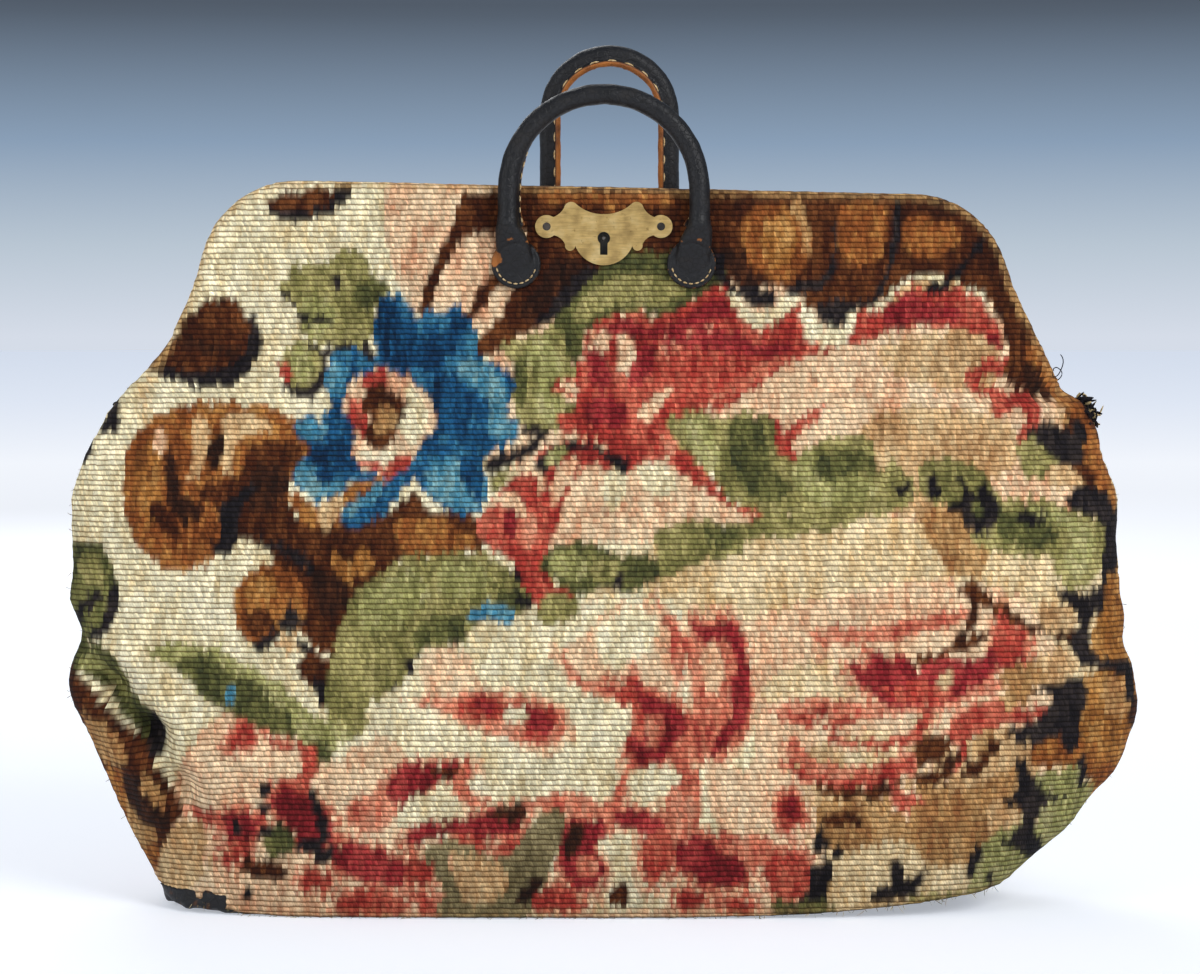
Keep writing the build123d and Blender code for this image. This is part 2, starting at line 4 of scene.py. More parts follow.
import bmesh
import bpy
import numpy as np
import mathutils
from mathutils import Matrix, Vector


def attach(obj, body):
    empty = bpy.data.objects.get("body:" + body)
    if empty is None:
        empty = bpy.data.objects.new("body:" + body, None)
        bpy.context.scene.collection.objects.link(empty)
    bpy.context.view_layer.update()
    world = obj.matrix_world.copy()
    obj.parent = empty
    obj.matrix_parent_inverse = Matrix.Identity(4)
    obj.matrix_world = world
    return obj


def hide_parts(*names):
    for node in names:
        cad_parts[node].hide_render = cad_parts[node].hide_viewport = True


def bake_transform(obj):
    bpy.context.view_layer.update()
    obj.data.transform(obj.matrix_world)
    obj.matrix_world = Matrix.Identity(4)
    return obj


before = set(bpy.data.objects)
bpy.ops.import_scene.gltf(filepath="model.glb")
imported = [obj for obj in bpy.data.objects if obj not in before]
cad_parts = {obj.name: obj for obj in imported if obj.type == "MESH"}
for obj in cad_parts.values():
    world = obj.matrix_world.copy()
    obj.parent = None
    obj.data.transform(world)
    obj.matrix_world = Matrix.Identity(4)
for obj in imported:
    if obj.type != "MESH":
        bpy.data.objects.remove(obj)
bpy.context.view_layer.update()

# A Victorian carpet travelling bag, standing closed on its base and seen from the lock side.
for node_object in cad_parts.values():
    node_object.select_set(False)


# Carpet faces: front and rear are each one piece of looped-pile carpet, woven with a loop every
# 2.88 mm across and 2.83 mm up, sewn to the leather base, folded in along the gusset seams and
# turned as a hem over the iron frame. Below the hinge each level of the bag is a rounded
# oblong with a fold at both ends; above it the cloth lies flat over the arch.
# Sizes are in millimetres, and MM turns them to Blender's metres.
MM = 0.001
loop_across = 2.88
loop_up = 2.83
steps_to_uv = 100.0
carpet_thick = 3.2
# the least distance from a face to the plane between the two, for the cloth and for one loop
seam_least, loop_least = 0.35, 0.25
cover_depth = 14.9
rim_round = 4.0
rim_grow = 3.7
hem_depth = 0.7
# heights where the cloth starts to lean on the arch, where it changes from hung to flat, and
# where the table of hung levels ends
arch_from = 250.0
flat_from, flat_to = 258.0, 284.0
hung_top = 300.0
# height, left, right, half depth, gusset fold, squareness left and right
CARPET_LEVELS = [
    (-8.0, 228.0, 195.0, 53.0, 0.0, 4.0, 5.0),
    (0.0, 228.0, 195.0, 54.0, 0.0, 4.0, 5.0),
    (22.1, 243.0, 218.9, 57.0, 11.7, 2.8, 3.8),
    (45.9, 259.0, 246.4, 58.8, 22.1, 2.4, 3.3),
    (77.1, 269.9, 270.9, 60.0, 26.0, 2.6, 3.2),
    (105.1, 276.9, 281.0, 58.8, 26.0, 3.0, 3.2),
    (134.9, 280.0, 275.9, 55.2, 23.9, 3.2, 3.2),
    (163.5, 280.0, 271.2, 50.4, 20.0, 3.4, 3.4),
    (194.6, 279.4, 268.1, 43.2, 16.1, 3.8, 3.8),
    (218.0, 278.9, 268.9, 36.0, 11.7, 4.5, 4.5),
    (240.0, 271.9, 259.9, 27.0, 6.5, 6.0, 6.0),
    (259.5, 262.0, 258.0, 21.5, 0.0, 8.0, 8.0),
    (310.0, 262.0, 258.0, 21.5, 0.0, 8.0, 8.0),
]
# where the carpet's lower edge is sewn, from the left: place along the bag and height
HEM_LINE = [
    (-300, 40.0), (-250, 22.0), (-240, 15.5), (-225, 9.0), (-205, 4.5), (-187, 1.5), (-165, 0.6),
    (20, 0.6), (50, 0.9), (86, 1.6), (123, 3.6), (159, 7.0), (195, 11.2), (214, 15.5),
    (232, 28.0), (250, 42.0), (300, 70.0),
]


def carpet_level(z):
    """The sizes of the hung carpet at a height, eased between the levels."""
    table = np.array(CARPET_LEVELS)
    steps = np.linspace(-9.0, 9.0, 13)
    weights = np.exp(-((steps / 5.0) ** 2))
    weights /= weights.sum()
    heights = np.clip(z + steps, table[0, 0], table[-1, 0])
    return [float(np.dot(weights, np.interp(heights, table[:, 0], table[:, c]))) for c in range(1, 7)]


def ring_quarter(width, depth, fold, square, steps=90):
    """Points from the middle of a face round to the gusset seam, and their distance run."""
    angle = np.linspace(math.pi / 2, 0.0, steps)
    across = np.clip(np.cos(angle), 0, 1)
    along = np.clip(np.sin(angle), 0, 1)
    reach = (width + 0.36 * fold) * across ** (2 / square)
    y = depth * along ** (2 / square)
    x = reach - fold * np.exp(-((y / (0.3 * depth)) ** 2))
    run = np.concatenate([[0.0], np.cumsum(np.hypot(np.diff(x), np.diff(y)))])
    return x, y, run


def arch_outline(grow):
    """The frame's arch as points from the left foot up and over to the right foot."""
    corners = [
        (-237.0, 230.0, 0.0), (-237.0, 274.0, 12.0), (-212.5, 325.0, 120.0), (-198.0, 380.0, 48.0),
        (197.0, 371.5, 48.0), (212.5, 325.0, 120.0), (237.0, 274.0, 12.0), (237.0, 230.0, 0.0),
    ]
    points = []
    for i, (x, z, radius) in enumerate(corners):
        if not radius:
            points.append((x, z))
            continue
        here = Vector((x, z))
        back = (Vector(corners[i - 1][:2]) - here).normalized()
        ahead = (Vector(corners[i + 1][:2]) - here).normalized()
        half = back.angle(ahead) / 2
        centre = here + (back + ahead).normalized() * (radius / math.sin(half))
        first = here + back * (radius / math.tan(half)) - centre
        last = here + ahead * (radius / math.tan(half)) - centre
        sweep = first.angle(last)
        count = max(4, int(radius * sweep / 2))
        turn = 1 if first.x * last.y - first.y * last.x > 0 else -1
        for k in range(count + 1):
            a = turn * sweep * k / count
            spun = Vector((
                first.x * math.cos(a) - first.y * math.sin(a),
                first.x * math.sin(a) + first.y * math.cos(a),
            ))
            points.append(tuple(centre + spun))
    line = np.array(points)
    lengths = np.concatenate([[0.0], np.cumsum(np.hypot(*np.diff(line, axis=0).T))])
    even = np.linspace(0, lengths[-1], int(lengths[-1]))
    line = np.stack([np.interp(even, lengths, line[:, 0]), np.interp(even, lengths, line[:, 1])], 1)
    tangent = np.gradient(line, axis=0)
    tangent /= np.linalg.norm(tangent, axis=1)[:, None]
    normal = np.stack([-tangent[:, 1], tangent[:, 0]], 1)
    if normal[0, 0] > 0:
        normal = -normal
    return line + normal * grow, normal


def inside(points, outline):
    """Which points lie inside a closed outline."""
    hit = np.zeros(len(points), bool)
    x, z = points[:, 0], points[:, 1]
    previous = outline[-1]
    for corner in outline:
        x0, z0 = previous
        x1, z1 = corner
        if z0 != z1:
            crossing = (z0 > z) != (z1 > z)
            hit ^= crossing & (x < (x1 - x0) * (z - z0) / (z1 - z0) + x0)
        previous = corner
    return hit


def ease(low, high, value):
    """A smooth step from 0 at low to 1 at high."""
    t = np.clip((value - low) / (high - low), 0, 1)
    return t * t * (3 - 2 * t)


# Folds of the front face, read from the photograph: start, end, half width and depth in, then
# how much wider the cloth stands up on each side of it
FRONT_FOLDS = [
    ((-284, 150), (-257, 119), 7.0, 5.0), ((-257, 119), (-236, 95), 8.0, 8.0),
    ((-236, 95), (-221, 66), 8.0, 7.0), ((-221, 66), (-214, 50), 8.0, 3.5),
    ((110, 212), (111, 170), 3.5, 1.6), ((111, 170), (112, 124), 3.5, 1.8),
    ((68, 88), (68, 52), 3.0, 1.4), ((-20, 95), (-20, 62), 4.0, 0.9),
    ((-229, 299), (-214, 298), 4.0, 3.2), ((144, 252), (147, 224), 4.0, 1.6),
    ((205, 240), (262, 262), 6.0, 2.2), ((226, 150), (279, 140), 7.0, 2.2),
    ((238, 120), (270, 122), 5.0, 1.6), ((160, 66), (250, 62), 9.0, 1.8),
    ((-180, 62), (-120, 50), 8.0, 1.6), ((-216, 128), (-150, 84), 9.0, 1.4),
    ((150, 50), (156, 14), 4.0, 1.8), ((112, 42), (110, 12), 5.0, 1.8),
    ((-262, 205), (-235, 232), 8.0, 1.2), ((60, 40), (66, 8), 6.0, 1.3),
]
REAR_FOLDS = [
    ((-270, 110), (-232, 84), 8.0, 5.5), ((-232, 84), (-206, 50), 9.0, 5.0),
    ((240, 150), (270, 120), 7.0, 3.0), ((40, 190), (46, 120), 4.0, 1.8),
    ((-100, 70), (-60, 56), 7.0, 1.6), ((130, 60), (196, 40), 8.0, 2.4),
    ((-60, 214), (-64, 170), 4.0, 1.5), ((150, 236), (200, 244), 6.0, 1.6),
]


def fold_depth(x, z, folds):
    """How far the cloth is pushed in by the folds at a place on a face."""
    depth = np.zeros_like(x)
    for (x0, z0), (x1, z1), width, push in folds:
        length = math.hypot(x1 - x0, z1 - z0)
        along = ((x - x0) * (x1 - x0) + (z - z0) * (z1 - z0)) / length
        aside = ((x - x0) * (z1 - z0) - (z - z0) * (x1 - x0)) / length
        beyond = np.maximum(np.maximum(-along, along - length), 0)
        near = np.hypot(aside, beyond) / width
        depth += push * (np.exp(-near ** 2) - 0.35 * np.exp(-((near - 2.2) / 0.9) ** 2))
    return depth


def carpet_grid(folds, seed):
    """The woven loops' corners of one face as a grid of places, seen as cloth laid over the bag."""
    noise = random.Random(seed)
    table = [(z, carpet_level(z)) for z in np.arange(-6.0, hung_top, 1.0)]
    heights = np.array([row[0] for row in table])
    depths = np.array([row[1][2] for row in table])
    into_cover = ease(flat_from, flat_to, heights)
    middle_y = depths * (1 - into_cover) + cover_depth * into_cover
    climb = np.concatenate([[0.0], np.cumsum(np.hypot(np.diff(heights), np.diff(middle_y)))])
    climb -= np.interp(0.0, heights, climb)
    rows = np.arange(-1, 152)
    row_height = np.interp(rows * loop_up, climb, heights)
    over = rows * loop_up > climb[-1]
    row_height[over] = heights[-1] + (rows[over] * loop_up - climb[-1])
    columns = np.arange(-118, 119)
    spread = columns * loop_across
    hem_run = math.pi / 2 * rim_round + cover_depth - rim_round - hem_depth
    slack_from = 120.0
    outline, normals = arch_outline(rim_grow - rim_round)
    place = np.zeros((len(rows), len(columns), 3))
    spare = np.zeros((len(rows), len(columns)))
    past_rim = np.full((len(rows), len(columns)), -99.0)

    def over_arch(x, z):
        """Cloth laid flat over the arch and turned over its rim, and how far it is past the rim."""
        flat = np.stack([x, np.full(len(x), z)], 1)
        gap = np.hypot(flat[:, None, 0] - outline[None, :, 0], flat[:, None, 1] - outline[None, :, 1])
        nearest = gap.argmin(axis=1)
        distance = gap[np.arange(len(x)), nearest]
        away = np.einsum("ij,ij->i", flat - outline[nearest], normals[nearest])
        beyond = np.where(away > 0, distance, -distance)
        over_rim = np.clip(beyond, 0, hem_run)
        turn = np.clip(over_rim / rim_round, 0, math.pi / 2)
        out = rim_round * np.sin(turn)
        depth = cover_depth - rim_round * (1 - np.cos(turn))
        depth -= np.maximum(over_rim - rim_round * math.pi / 2, 0)
        held = beyond > 0
        base = np.where(held[:, None], outline[nearest], flat)
        x_over = base[:, 0] + np.where(held, normals[nearest, 0] * out, 0)
        z_over = base[:, 1] + np.where(held, normals[nearest, 1] * out, 0)
        return np.stack([x_over, depth, z_over], 1), beyond

    for r, z in enumerate(row_height):
        sizes = carpet_level(min(z, hung_top))
        share_y = float(ease(flat_from, flat_to, z))
        left_share = math.sin(min(max((z - 261.0) / 40.0, 0.0), 1.0) * math.pi / 2)
        right_share = float(ease(261.0, 274.0, z))
        sides = ((-1, sizes[0], sizes[4], left_share), (1, sizes[1], sizes[5], right_share))
        for way, width, square, share_x in sides:
            here = columns < 0 if way < 0 else columns >= 0
            far = np.abs(spread[here])
            x, y, run = ring_quarter(width, sizes[2], sizes[3], square)
            total = edge = run[-1]
            if z > arch_from:
                high, beyond = over_arch(way * far, z)
                order = np.argsort(far)
                edge = np.interp(hem_run, np.maximum.accumulate(beyond[order]), far[order])
                total = total * (1 - share_y) + edge * share_y
            # the slack between the two is eased out towards the seam
            pull = np.clip((far - slack_from) / max(total - slack_from, 1.0), 0, 1.1) ** 2
            if arch_from < z < hung_top + 1:
                high, beyond = over_arch(way * (far + (edge - total) * pull), z)
            far_low = far + (run[-1] - total) * pull * (z < hung_top + 1)
            low = np.stack([
                way * np.interp(far_low, run, x),
                np.maximum(np.interp(far_low, run, y), seam_least),
                np.full(len(far), z),
            ], 1)
            if z > arch_from:
                share = np.array([share_x, share_y, share_y])
                low = low * (1 - share) + high * share
                past_rim[r, here] = beyond
            place[r, here] = low
            spare[r, here] = total - far if z < hung_top + 1 else hem_run - beyond
    kept = spare > -loop_across
    # the lower edge is lifted to the sewn line
    edge = np.interp(place[:, :, 0], *np.array(HEM_LINE).T)
    sunk = place[:, :, 2] < edge
    kept &= place[:, :, 2] > edge - loop_up
    place[:, :, 2] = np.where(sunk, edge, place[:, :, 2])
    # folds, then the small unevenness of old cloth, pushed along the cloth's own normal
    push = fold_depth(place[:, :, 0], place[:, :, 2], folds)
    for _ in range(7):
        kx, kz, phase = noise.uniform(0.02, 0.07), noise.uniform(-0.05, 0.05), noise.uniform(0, 6)
        push += 0.22 * np.sin(place[:, :, 0] * kx + place[:, :, 2] * kz + phase)
    across = np.gradient(place, axis=1)
    up = np.gradient(place, axis=0)
    normal = np.cross(across, up)
    size = np.linalg.norm(normal, axis=2)[:, :, None]
    normal = np.divide(normal, size, out=np.zeros_like(normal), where=size > 1e-9)
    fade = ease(0.0, 14.0, place[:, :, 1]) * (1 - 0.8 * ease(262.0, 280.0, place[:, :, 2]))
    fade *= ease(0.0, 8.0, place[:, :, 2] - edge) * 0.8 + 0.2
    place += normal * (push * fade)[:, :, None]
    return place, kept, normal, past_rim, columns, rows


# Dyed yarns of the carpet as they have faded: colour, then what it pales to and what it deepens to
YARNS = {
    "cream": ("E3DAB6", "F0E9CC", "C6B184"), "ecru": ("DDC69A", "EBDAB4", "BC9865"),
    "sand": ("CBA677", "DFC599", "9D7248"), "blush": ("E3C29D", "EED8B6", "C98B68"),
    "salmon": ("C9755A", "DDA183", "A33A34"), "red": ("A53A30", "CC7058", "7A2220"),
    "crimson": ("862228", "AE4540", "571518"), "maroon": ("44200F", "6E4122", "2A130C"),
    "umber": ("331B11", "54301B", "1C100C"), "rust": ("8A4F26", "B58144", "5C2F15"),
    "amber": ("9A6630", "C4965A", "6C3F1F"), "tan": ("AC8352", "C7A474", "835230"),
    "olive": ("87814D", "AEA56E", "5A5A31"), "moss": ("53552F", "7C7A48", "2E3322"),
    "lime": ("9B9A60", "BBB483", "706F3F"), "blue": ("1A5079", "42809B", "0E3253"),
    "navy": ("0F3558", "1D567F", "0A1F38"), "teal": ("43809A", "7FA7AC", "1F5A7C"),
    "soot": ("1B181C", "352E2C", "100E12"), "grey": ("857A58", "A89B74", "5E5438"),
}

# The woven flowers of the front face, painted one over another as yarn and outline. The drawing
# is laid out in millimetres from the lock's middle and the floor, as the face is seen.
FRONT_DRAWING = [
    ("ecru", [(60, 262), (96, 214), (30, 196), (-10, 170), (20, 60), (60, -10), (290, -10), (290, 262)]),
    # the faded rose at the lower right: petals in brown-pink streaks
    ("blush", [
        (70, 150), (120, 168), (180, 176), (226, 160), (236, 120), (230, 70), (190, 52), (110, 56),
        (60, 90),
    ]),
    ("sand", [(96, 84), (140, 96), (180, 92), (214, 100), (226, 76), (204, 52), (150, 48), (104, 56)]),
    ("tan", [(130, 58), (160, 70), (190, 68), (216, 80), (220, 58), (190, 44), (140, 42)]),
    ("ecru", [(86, 126), (118, 134), (140, 124), (112, 112), (84, 114)]),
    ("ecru", [(160, 108), (182, 118), (204, 112), (196, 96), (166, 94)]),
    ("ecru", [(120, 92), (146, 98), (152, 84), (128, 80)]),
    ("salmon", [
        (84, 108), (104, 116), (132, 113), (170, 116), (208, 126), (206, 120), (170, 108), (130, 105),
        (98, 106),
    ]),
    ("salmon", [(92, 88), (110, 76), (146, 74), (164, 84), (160, 90), (140, 81), (112, 83), (98, 94)]),
    ("salmon", [(108, 150), (140, 152), (178, 160), (196, 158), (170, 150), (140, 144), (112, 142)]),
    ("tan", [
        (196, 104), (206, 116), (220, 122), (222, 116), (208, 106), (200, 94), (196, 84), (190, 90),
    ]),
    ("umber", [(132, 66), (142, 72), (148, 68), (138, 60)]),
    ("umber", [(172, 82), (186, 88), (188, 82), (176, 76)]),
    ("blush", [
        (-140, 60), (-60, 130), (0, 165), (40, 120), (60, 40), (40, -10), (-260, -10), (-230, 60),
        (-190, 110),
    ]),
    ("cream", [(-96, 118), (-60, 150), (-14, 160), (-6, 120), (-30, 90), (-80, 86)]),
    ("blush", [
        (-104, 392), (-104, 322), (-60, 300), (-66, 240), (40, 236), (60, 262), (130, 296), (40, 392),
    ]),
    ("blush", [(60, 312), (250, 320), (262, 250), (250, 212), (160, 206), (96, 232), (60, 262)]),
    ("sand", [(150, 300), (200, 306), (208, 282), (190, 274), (150, 286)]),
    ("sand", [(140, 262), (206, 262), (214, 236), (164, 208), (140, 226)]),
    ("tan", [(166, 210), (200, 214), (198, 182), (184, 178), (172, 190)]),
    # top left: lens, scallop, leaf cluster
    ("soot", [
        (-178, 372), (-160, 372), (-140, 382), (-133, 385), (-133, 377), (-138, 370), (-146, 366),
        (-158, 363), (-170, 364), (-175, 368),
    ]),
    ("maroon", [
        (-177, 373), (-168, 378), (-152, 381), (-143, 381), (-140, 377), (-148, 371), (-160, 369),
        (-171, 369),
    ]),
    ("cream", [(-143, 384), (-139, 384), (-138, 381), (-142, 381)]),
    ("soot", [
        (-186, 315), (-181, 308), (-180, 298), (-184, 287), (-192, 280), (-205, 277), (-218, 277),
        (-230, 281), (-241, 288), (-238, 293), (-200, 300),
    ]),
    ("maroon", [
        (-228, 300), (-222, 309), (-218, 315), (-208, 322), (-198, 324), (-191, 320), (-188, 313),
        (-186, 304), (-189, 295), (-197, 288), (-212, 285), (-226, 287), (-241, 289), (-236, 296),
        (-228, 301),
    ]),
    ("umber", [(-222, 302), (-205, 299), (-192, 298), (-190, 294), (-208, 294), (-224, 298)]),
    ("soot", [(-256, 271), (-254, 262), (-255, 253), (-262, 252), (-268, 254), (-262, 261)]),
    ("soot", [(-270, 248), (-268, 241), (-272, 236), (-276, 238), (-273, 244)]),
    ("olive", [
        (-134, 350), (-128, 348), (-123, 341), (-121, 336), (-115, 332), (-112, 327), (-114, 322),
        (-120, 317), (-122, 303), (-127, 298), (-140, 297), (-152, 300), (-160, 306), (-161, 319),
        (-170, 326), (-171, 331), (-166, 334), (-165, 341), (-150, 342), (-142, 345),
    ]),
    ("lime", [(-158, 322), (-146, 322), (-140, 312), (-150, 303), (-158, 308)]),
    ("moss", [(-122, 334), (-114, 330), (-116, 323), (-124, 318), (-132, 326)]),
    ("soot", [(-142, 337), (-138, 334), (-138, 328), (-141, 328), (-143, 333)]),
    ("soot", [(-171, 328), (-164, 325), (-161, 321), (-166, 322)]),
    ("soot", [(-163, 316), (-156, 310), (-146, 311), (-143, 314), (-151, 314), (-158, 316)]),
    ("olive", [
        (-164, 300), (-156, 301), (-150, 296), (-147, 287), (-148, 279), (-155, 273), (-163, 275),
        (-168, 281), (-170, 291),
    ]),
    ("lime", [(-163, 297), (-156, 297), (-153, 288), (-157, 279), (-164, 284)]),
    ("soot", [(-157, 301), (-150, 298), (-140, 298), (-133, 300), (-133, 296), (-142, 293), (-150, 294)]),
    ("soot", [
        (-148, 291), (-145, 285), (-148, 277), (-153, 272), (-160, 271), (-166, 274), (-170, 281),
        (-165, 278), (-158, 276), (-152, 280),
    ]),
    ("red", [(-172, 286), (-169, 290), (-164, 288), (-163, 283), (-168, 281)]),
    ("soot", [(-128, 300), (-124, 300), (-121, 292), (-121, 286), (-125, 286)]),
    # great rust scroll and the brown mass beside it
    ("rust", [
        (-251, 226), (-250, 243), (-242, 256), (-228, 264), (-213, 268), (-198, 269), (-180, 267),
        (-165, 262), (-155, 250), (-156, 238), (-170, 220), (-190, 205), (-197, 193), (-205, 184),
        (-215, 180), (-226, 181), (-236, 187), (-244, 196), (-250, 210),
    ]),
    ("amber", [
        (-246, 226), (-244, 242), (-236, 252), (-230, 250), (-232, 232), (-228, 212), (-236, 206),
    ]),
    ("sand", [
        (-198, 262), (-182, 261), (-172, 254), (-186, 252), (-194, 240), (-194, 230), (-199, 236),
        (-200, 252),
    ]),
    ("sand", [(-216, 260), (-208, 258), (-207, 244), (-211, 230), (-217, 228), (-214, 240)]),
    ("blush", [(-236, 250), (-231, 254), (-228, 246), (-232, 240)]),
    ("umber", [
        (-229, 243), (-224, 240), (-222, 229), (-217, 218), (-208, 212), (-212, 204), (-222, 208),
        (-228, 220),
    ]),
    ("umber", [(-205, 249), (-199, 251), (-199, 241), (-203, 232), (-206, 233), (-207, 242)]),
    ("maroon", [(-234, 216), (-226, 213), (-220, 203), (-222, 196), (-230, 202), (-236, 208)]),
    ("maroon", [
        (-186, 241), (-180, 247), (-166, 248), (-157, 243), (-155, 237), (-163, 232), (-166, 222),
        (-158, 208), (-140, 205), (-134, 208), (-110, 212), (-98, 222), (-92, 212), (-70, 210),
        (-60, 204), (-62, 192), (-84, 190), (-100, 189), (-106, 184), (-112, 174), (-122, 170),
        (-130, 160), (-134, 144), (-142, 139), (-150, 141), (-158, 152), (-160, 168), (-166, 182),
        (-176, 192), (-190, 198), (-196, 212), (-210, 216), (-208, 226), (-194, 228), (-188, 234),
    ]),
    ("umber", [(-184, 232), (-172, 236), (-164, 226), (-172, 214), (-184, 212)]),
    ("rust", [(-166, 222), (-150, 215), (-139, 214), (-137, 204), (-150, 203), (-160, 210)]),
    ("rust", [(-134, 224), (-118, 230), (-112, 224), (-122, 214), (-134, 214)]),
    ("rust", [(-108, 206), (-92, 208), (-76, 204), (-66, 194), (-84, 188), (-98, 188), (-106, 194)]),
    ("sand", [(-146, 214), (-140, 222), (-136, 216), (-140, 206), (-144, 198), (-148, 206)]),
    ("amber", [(-140, 192), (-132, 186), (-124, 192), (-118, 184), (-128, 176), (-140, 180)]),
    ("soot", [
        (-184, 224), (-180, 221), (-188, 214), (-190, 202), (-190, 194), (-195, 188), (-201, 190),
        (-204, 196), (-199, 200), (-200, 212), (-195, 219),
    ]),
    ("soot", [
        (-181, 195), (-172, 197), (-164, 194), (-157, 190), (-150, 182), (-150, 177), (-157, 181),
        (-164, 187), (-171, 192),
    ]),
    ("umber", [(-152, 178), (-140, 180), (-132, 172), (-134, 160), (-146, 160)]),
    # second scroll, its star and drop
    ("rust", [
        (-191, 158), (-190, 172), (-184, 179), (-174, 184), (-164, 183), (-157, 176), (-152, 166),
        (-158, 150), (-166, 148), (-172, 142), (-182, 145), (-190, 152),
    ]),
    ("amber", [(-186, 170), (-178, 178), (-168, 178), (-170, 168), (-180, 162)]),
    ("maroon", [(-184, 158), (-174, 160), (-168, 150), (-178, 146), (-186, 150)]),
    ("soot", [
        (-171, 155), (-165, 158), (-162, 166), (-159, 158), (-152, 155), (-158, 152), (-160, 148),
        (-167, 151),
    ]),
    ("sand", [(-165, 150), (-161, 148), (-157, 142), (-162, 138), (-168, 142)]),
    ("soot", [(-168, 150), (-169, 144), (-175, 139), (-181, 139), (-177, 145)]),
    ("soot", [(-158, 148), (-153, 142), (-147, 136), (-152, 136), (-158, 142)]),
    ("maroon", [
        (-158, 132), (-154, 137), (-147, 138), (-141, 131), (-141, 120), (-144, 112), (-147, 113),
        (-150, 122), (-156, 126),
    ]),
    ("soot", [(-150, 124), (-146, 126), (-143, 118), (-145, 111), (-148, 114)]),
    # stripes and brown field behind the left tab
    ("maroon", [
        (-72, 378), (-44, 377), (-30, 377), (-34, 366), (-48, 356), (-66, 357), (-76, 352), (-83, 340),
        (-88, 328), (-92, 314), (-97, 311), (-96, 322), (-91, 336), (-85, 350), (-79, 362),
    ]),
    ("maroon", [(-56, 337), (-49, 333), (-58, 326), (-65, 315), (-72, 309), (-71, 317), (-66, 326)]),
    ("maroon", [(-44, 378), (-34, 340), (0, 330), (60, 334), (58, 392), (-40, 392)]),
    ("rust", [(-30, 380), (-10, 378), (10, 380), (30, 378), (34, 372), (-28, 372)]),
    ("sand", [(-36, 350), (-22, 346), (-10, 338), (-24, 336), (-38, 342)]),
    ("maroon", [
        (-36, 356), (-14, 352), (2, 346), (-2, 337), (-12, 331), (-22, 323), (-30, 313), (-38, 305),
        (-50, 299), (-60, 294), (-68, 292), (-66, 300), (-58, 311), (-50, 322), (-44, 334), (-42, 346),
    ]),
    ("umber", [(-30, 340), (-16, 344), (-8, 338), (-24, 326), (-40, 310), (-44, 318), (-34, 330)]),
    ("moss", [
        (2, 346), (15, 348), (30, 347), (50, 347), (62, 344), (67, 337), (62, 331), (56, 326), (46, 321),
        (38, 318), (30, 314), (18, 316), (0, 312), (-9, 304), (-13, 290), (-20, 288), (-22, 300),
        (-26, 312), (-20, 320), (-12, 330), (-4, 338),
    ]),
    ("olive", [(0, 332), (24, 336), (44, 330), (34, 320), (16, 320), (0, 318), (-10, 310), (-16, 316)]),
    ("soot", [
        (-3, 339), (-11, 339), (-20, 330), (-28, 320), (-36, 310), (-28, 311), (-20, 319), (-11, 328),
    ]),
    ("olive", [
        (-54, 297), (-45, 301), (-35, 306), (-25, 309), (-20, 304), (-20, 294), (-13, 286), (-19, 281),
        (-26, 277), (-20, 270), (-13, 265), (-16, 259), (-24, 255), (-34, 253), (-41, 256), (-46, 263),
        (-49, 274), (-47, 286),
    ]),
    ("lime", [
        (-40, 298), (-30, 302), (-24, 294), (-22, 284), (-30, 278), (-24, 268), (-20, 260), (-32, 258),
        (-36, 270), (-34, 284), (-42, 290),
    ]),
    ("moss", [(-46, 292), (-41, 294), (-40, 280), (-42, 268), (-46, 270), (-47, 282)]),
    # blue flower
    ("blue", [
        (-162, 259), (-146, 262), (-143, 268), (-147, 276), (-146, 286), (-142, 293), (-133, 297),
        (-125, 294), (-122, 291), (-120, 298), (-121, 310), (-118, 318), (-113, 325), (-108, 326),
        (-103, 321), (-99, 312), (-95, 316), (-90, 317), (-85, 315), (-79, 320), (-74, 319), (-71, 313),
        (-69, 308), (-66, 304), (-66, 293), (-59, 290), (-52, 286), (-47, 279), (-49, 268), (-50, 262),
        (-45, 256), (-43, 251), (-49, 247), (-62, 239), (-63, 233), (-60, 224), (-62, 215), (-68, 211),
        (-78, 211), (-90, 218), (-98, 228), (-104, 238), (-112, 231), (-130, 226), (-140, 219),
        (-152, 218), (-160, 224), (-163, 231), (-158, 238), (-153, 242), (-159, 250),
    ]),
    ("teal", [
        (-66, 290), (-56, 286), (-50, 278), (-52, 266), (-48, 256), (-56, 250), (-62, 254), (-60, 266),
        (-66, 274), (-76, 282), (-74, 290),
    ]),
    ("teal", [(-160, 257), (-148, 260), (-144, 254), (-152, 248), (-158, 250)]),
    ("teal", [(-146, 282), (-140, 290), (-134, 286), (-136, 276), (-142, 272)]),
    ("teal", [(-162, 232), (-152, 236), (-146, 228), (-134, 228), (-138, 221), (-152, 219), (-159, 225)]),
    ("teal", [(-94, 228), (-86, 240), (-74, 238), (-64, 230), (-62, 218), (-70, 212), (-84, 216)]),
    ("navy", [
        (-118, 322), (-110, 324), (-106, 314), (-96, 304), (-82, 306), (-74, 316), (-72, 306), (-82, 292),
        (-96, 286), (-110, 288), (-118, 298),
    ]),
    ("navy", [(-136, 278), (-130, 284), (-126, 276), (-128, 266), (-134, 270)]),
    ("navy", [
        (-90, 274), (-82, 284), (-72, 276), (-64, 266), (-72, 258), (-86, 250), (-92, 242), (-96, 250),
        (-89, 260),
    ]),
    ("navy", [(-154, 244), (-140, 248), (-130, 244), (-126, 234), (-140, 234), (-150, 238)]),
    ("navy", [(-76, 238), (-70, 240), (-64, 230), (-64, 216), (-72, 224)]),
    ("navy", [(-150, 231), (-142, 232), (-142, 226), (-149, 226)]),
    ("blue", [
        (-100, 240), (-95, 236), (-99, 228), (-106, 220), (-112, 213), (-120, 207), (-130, 203),
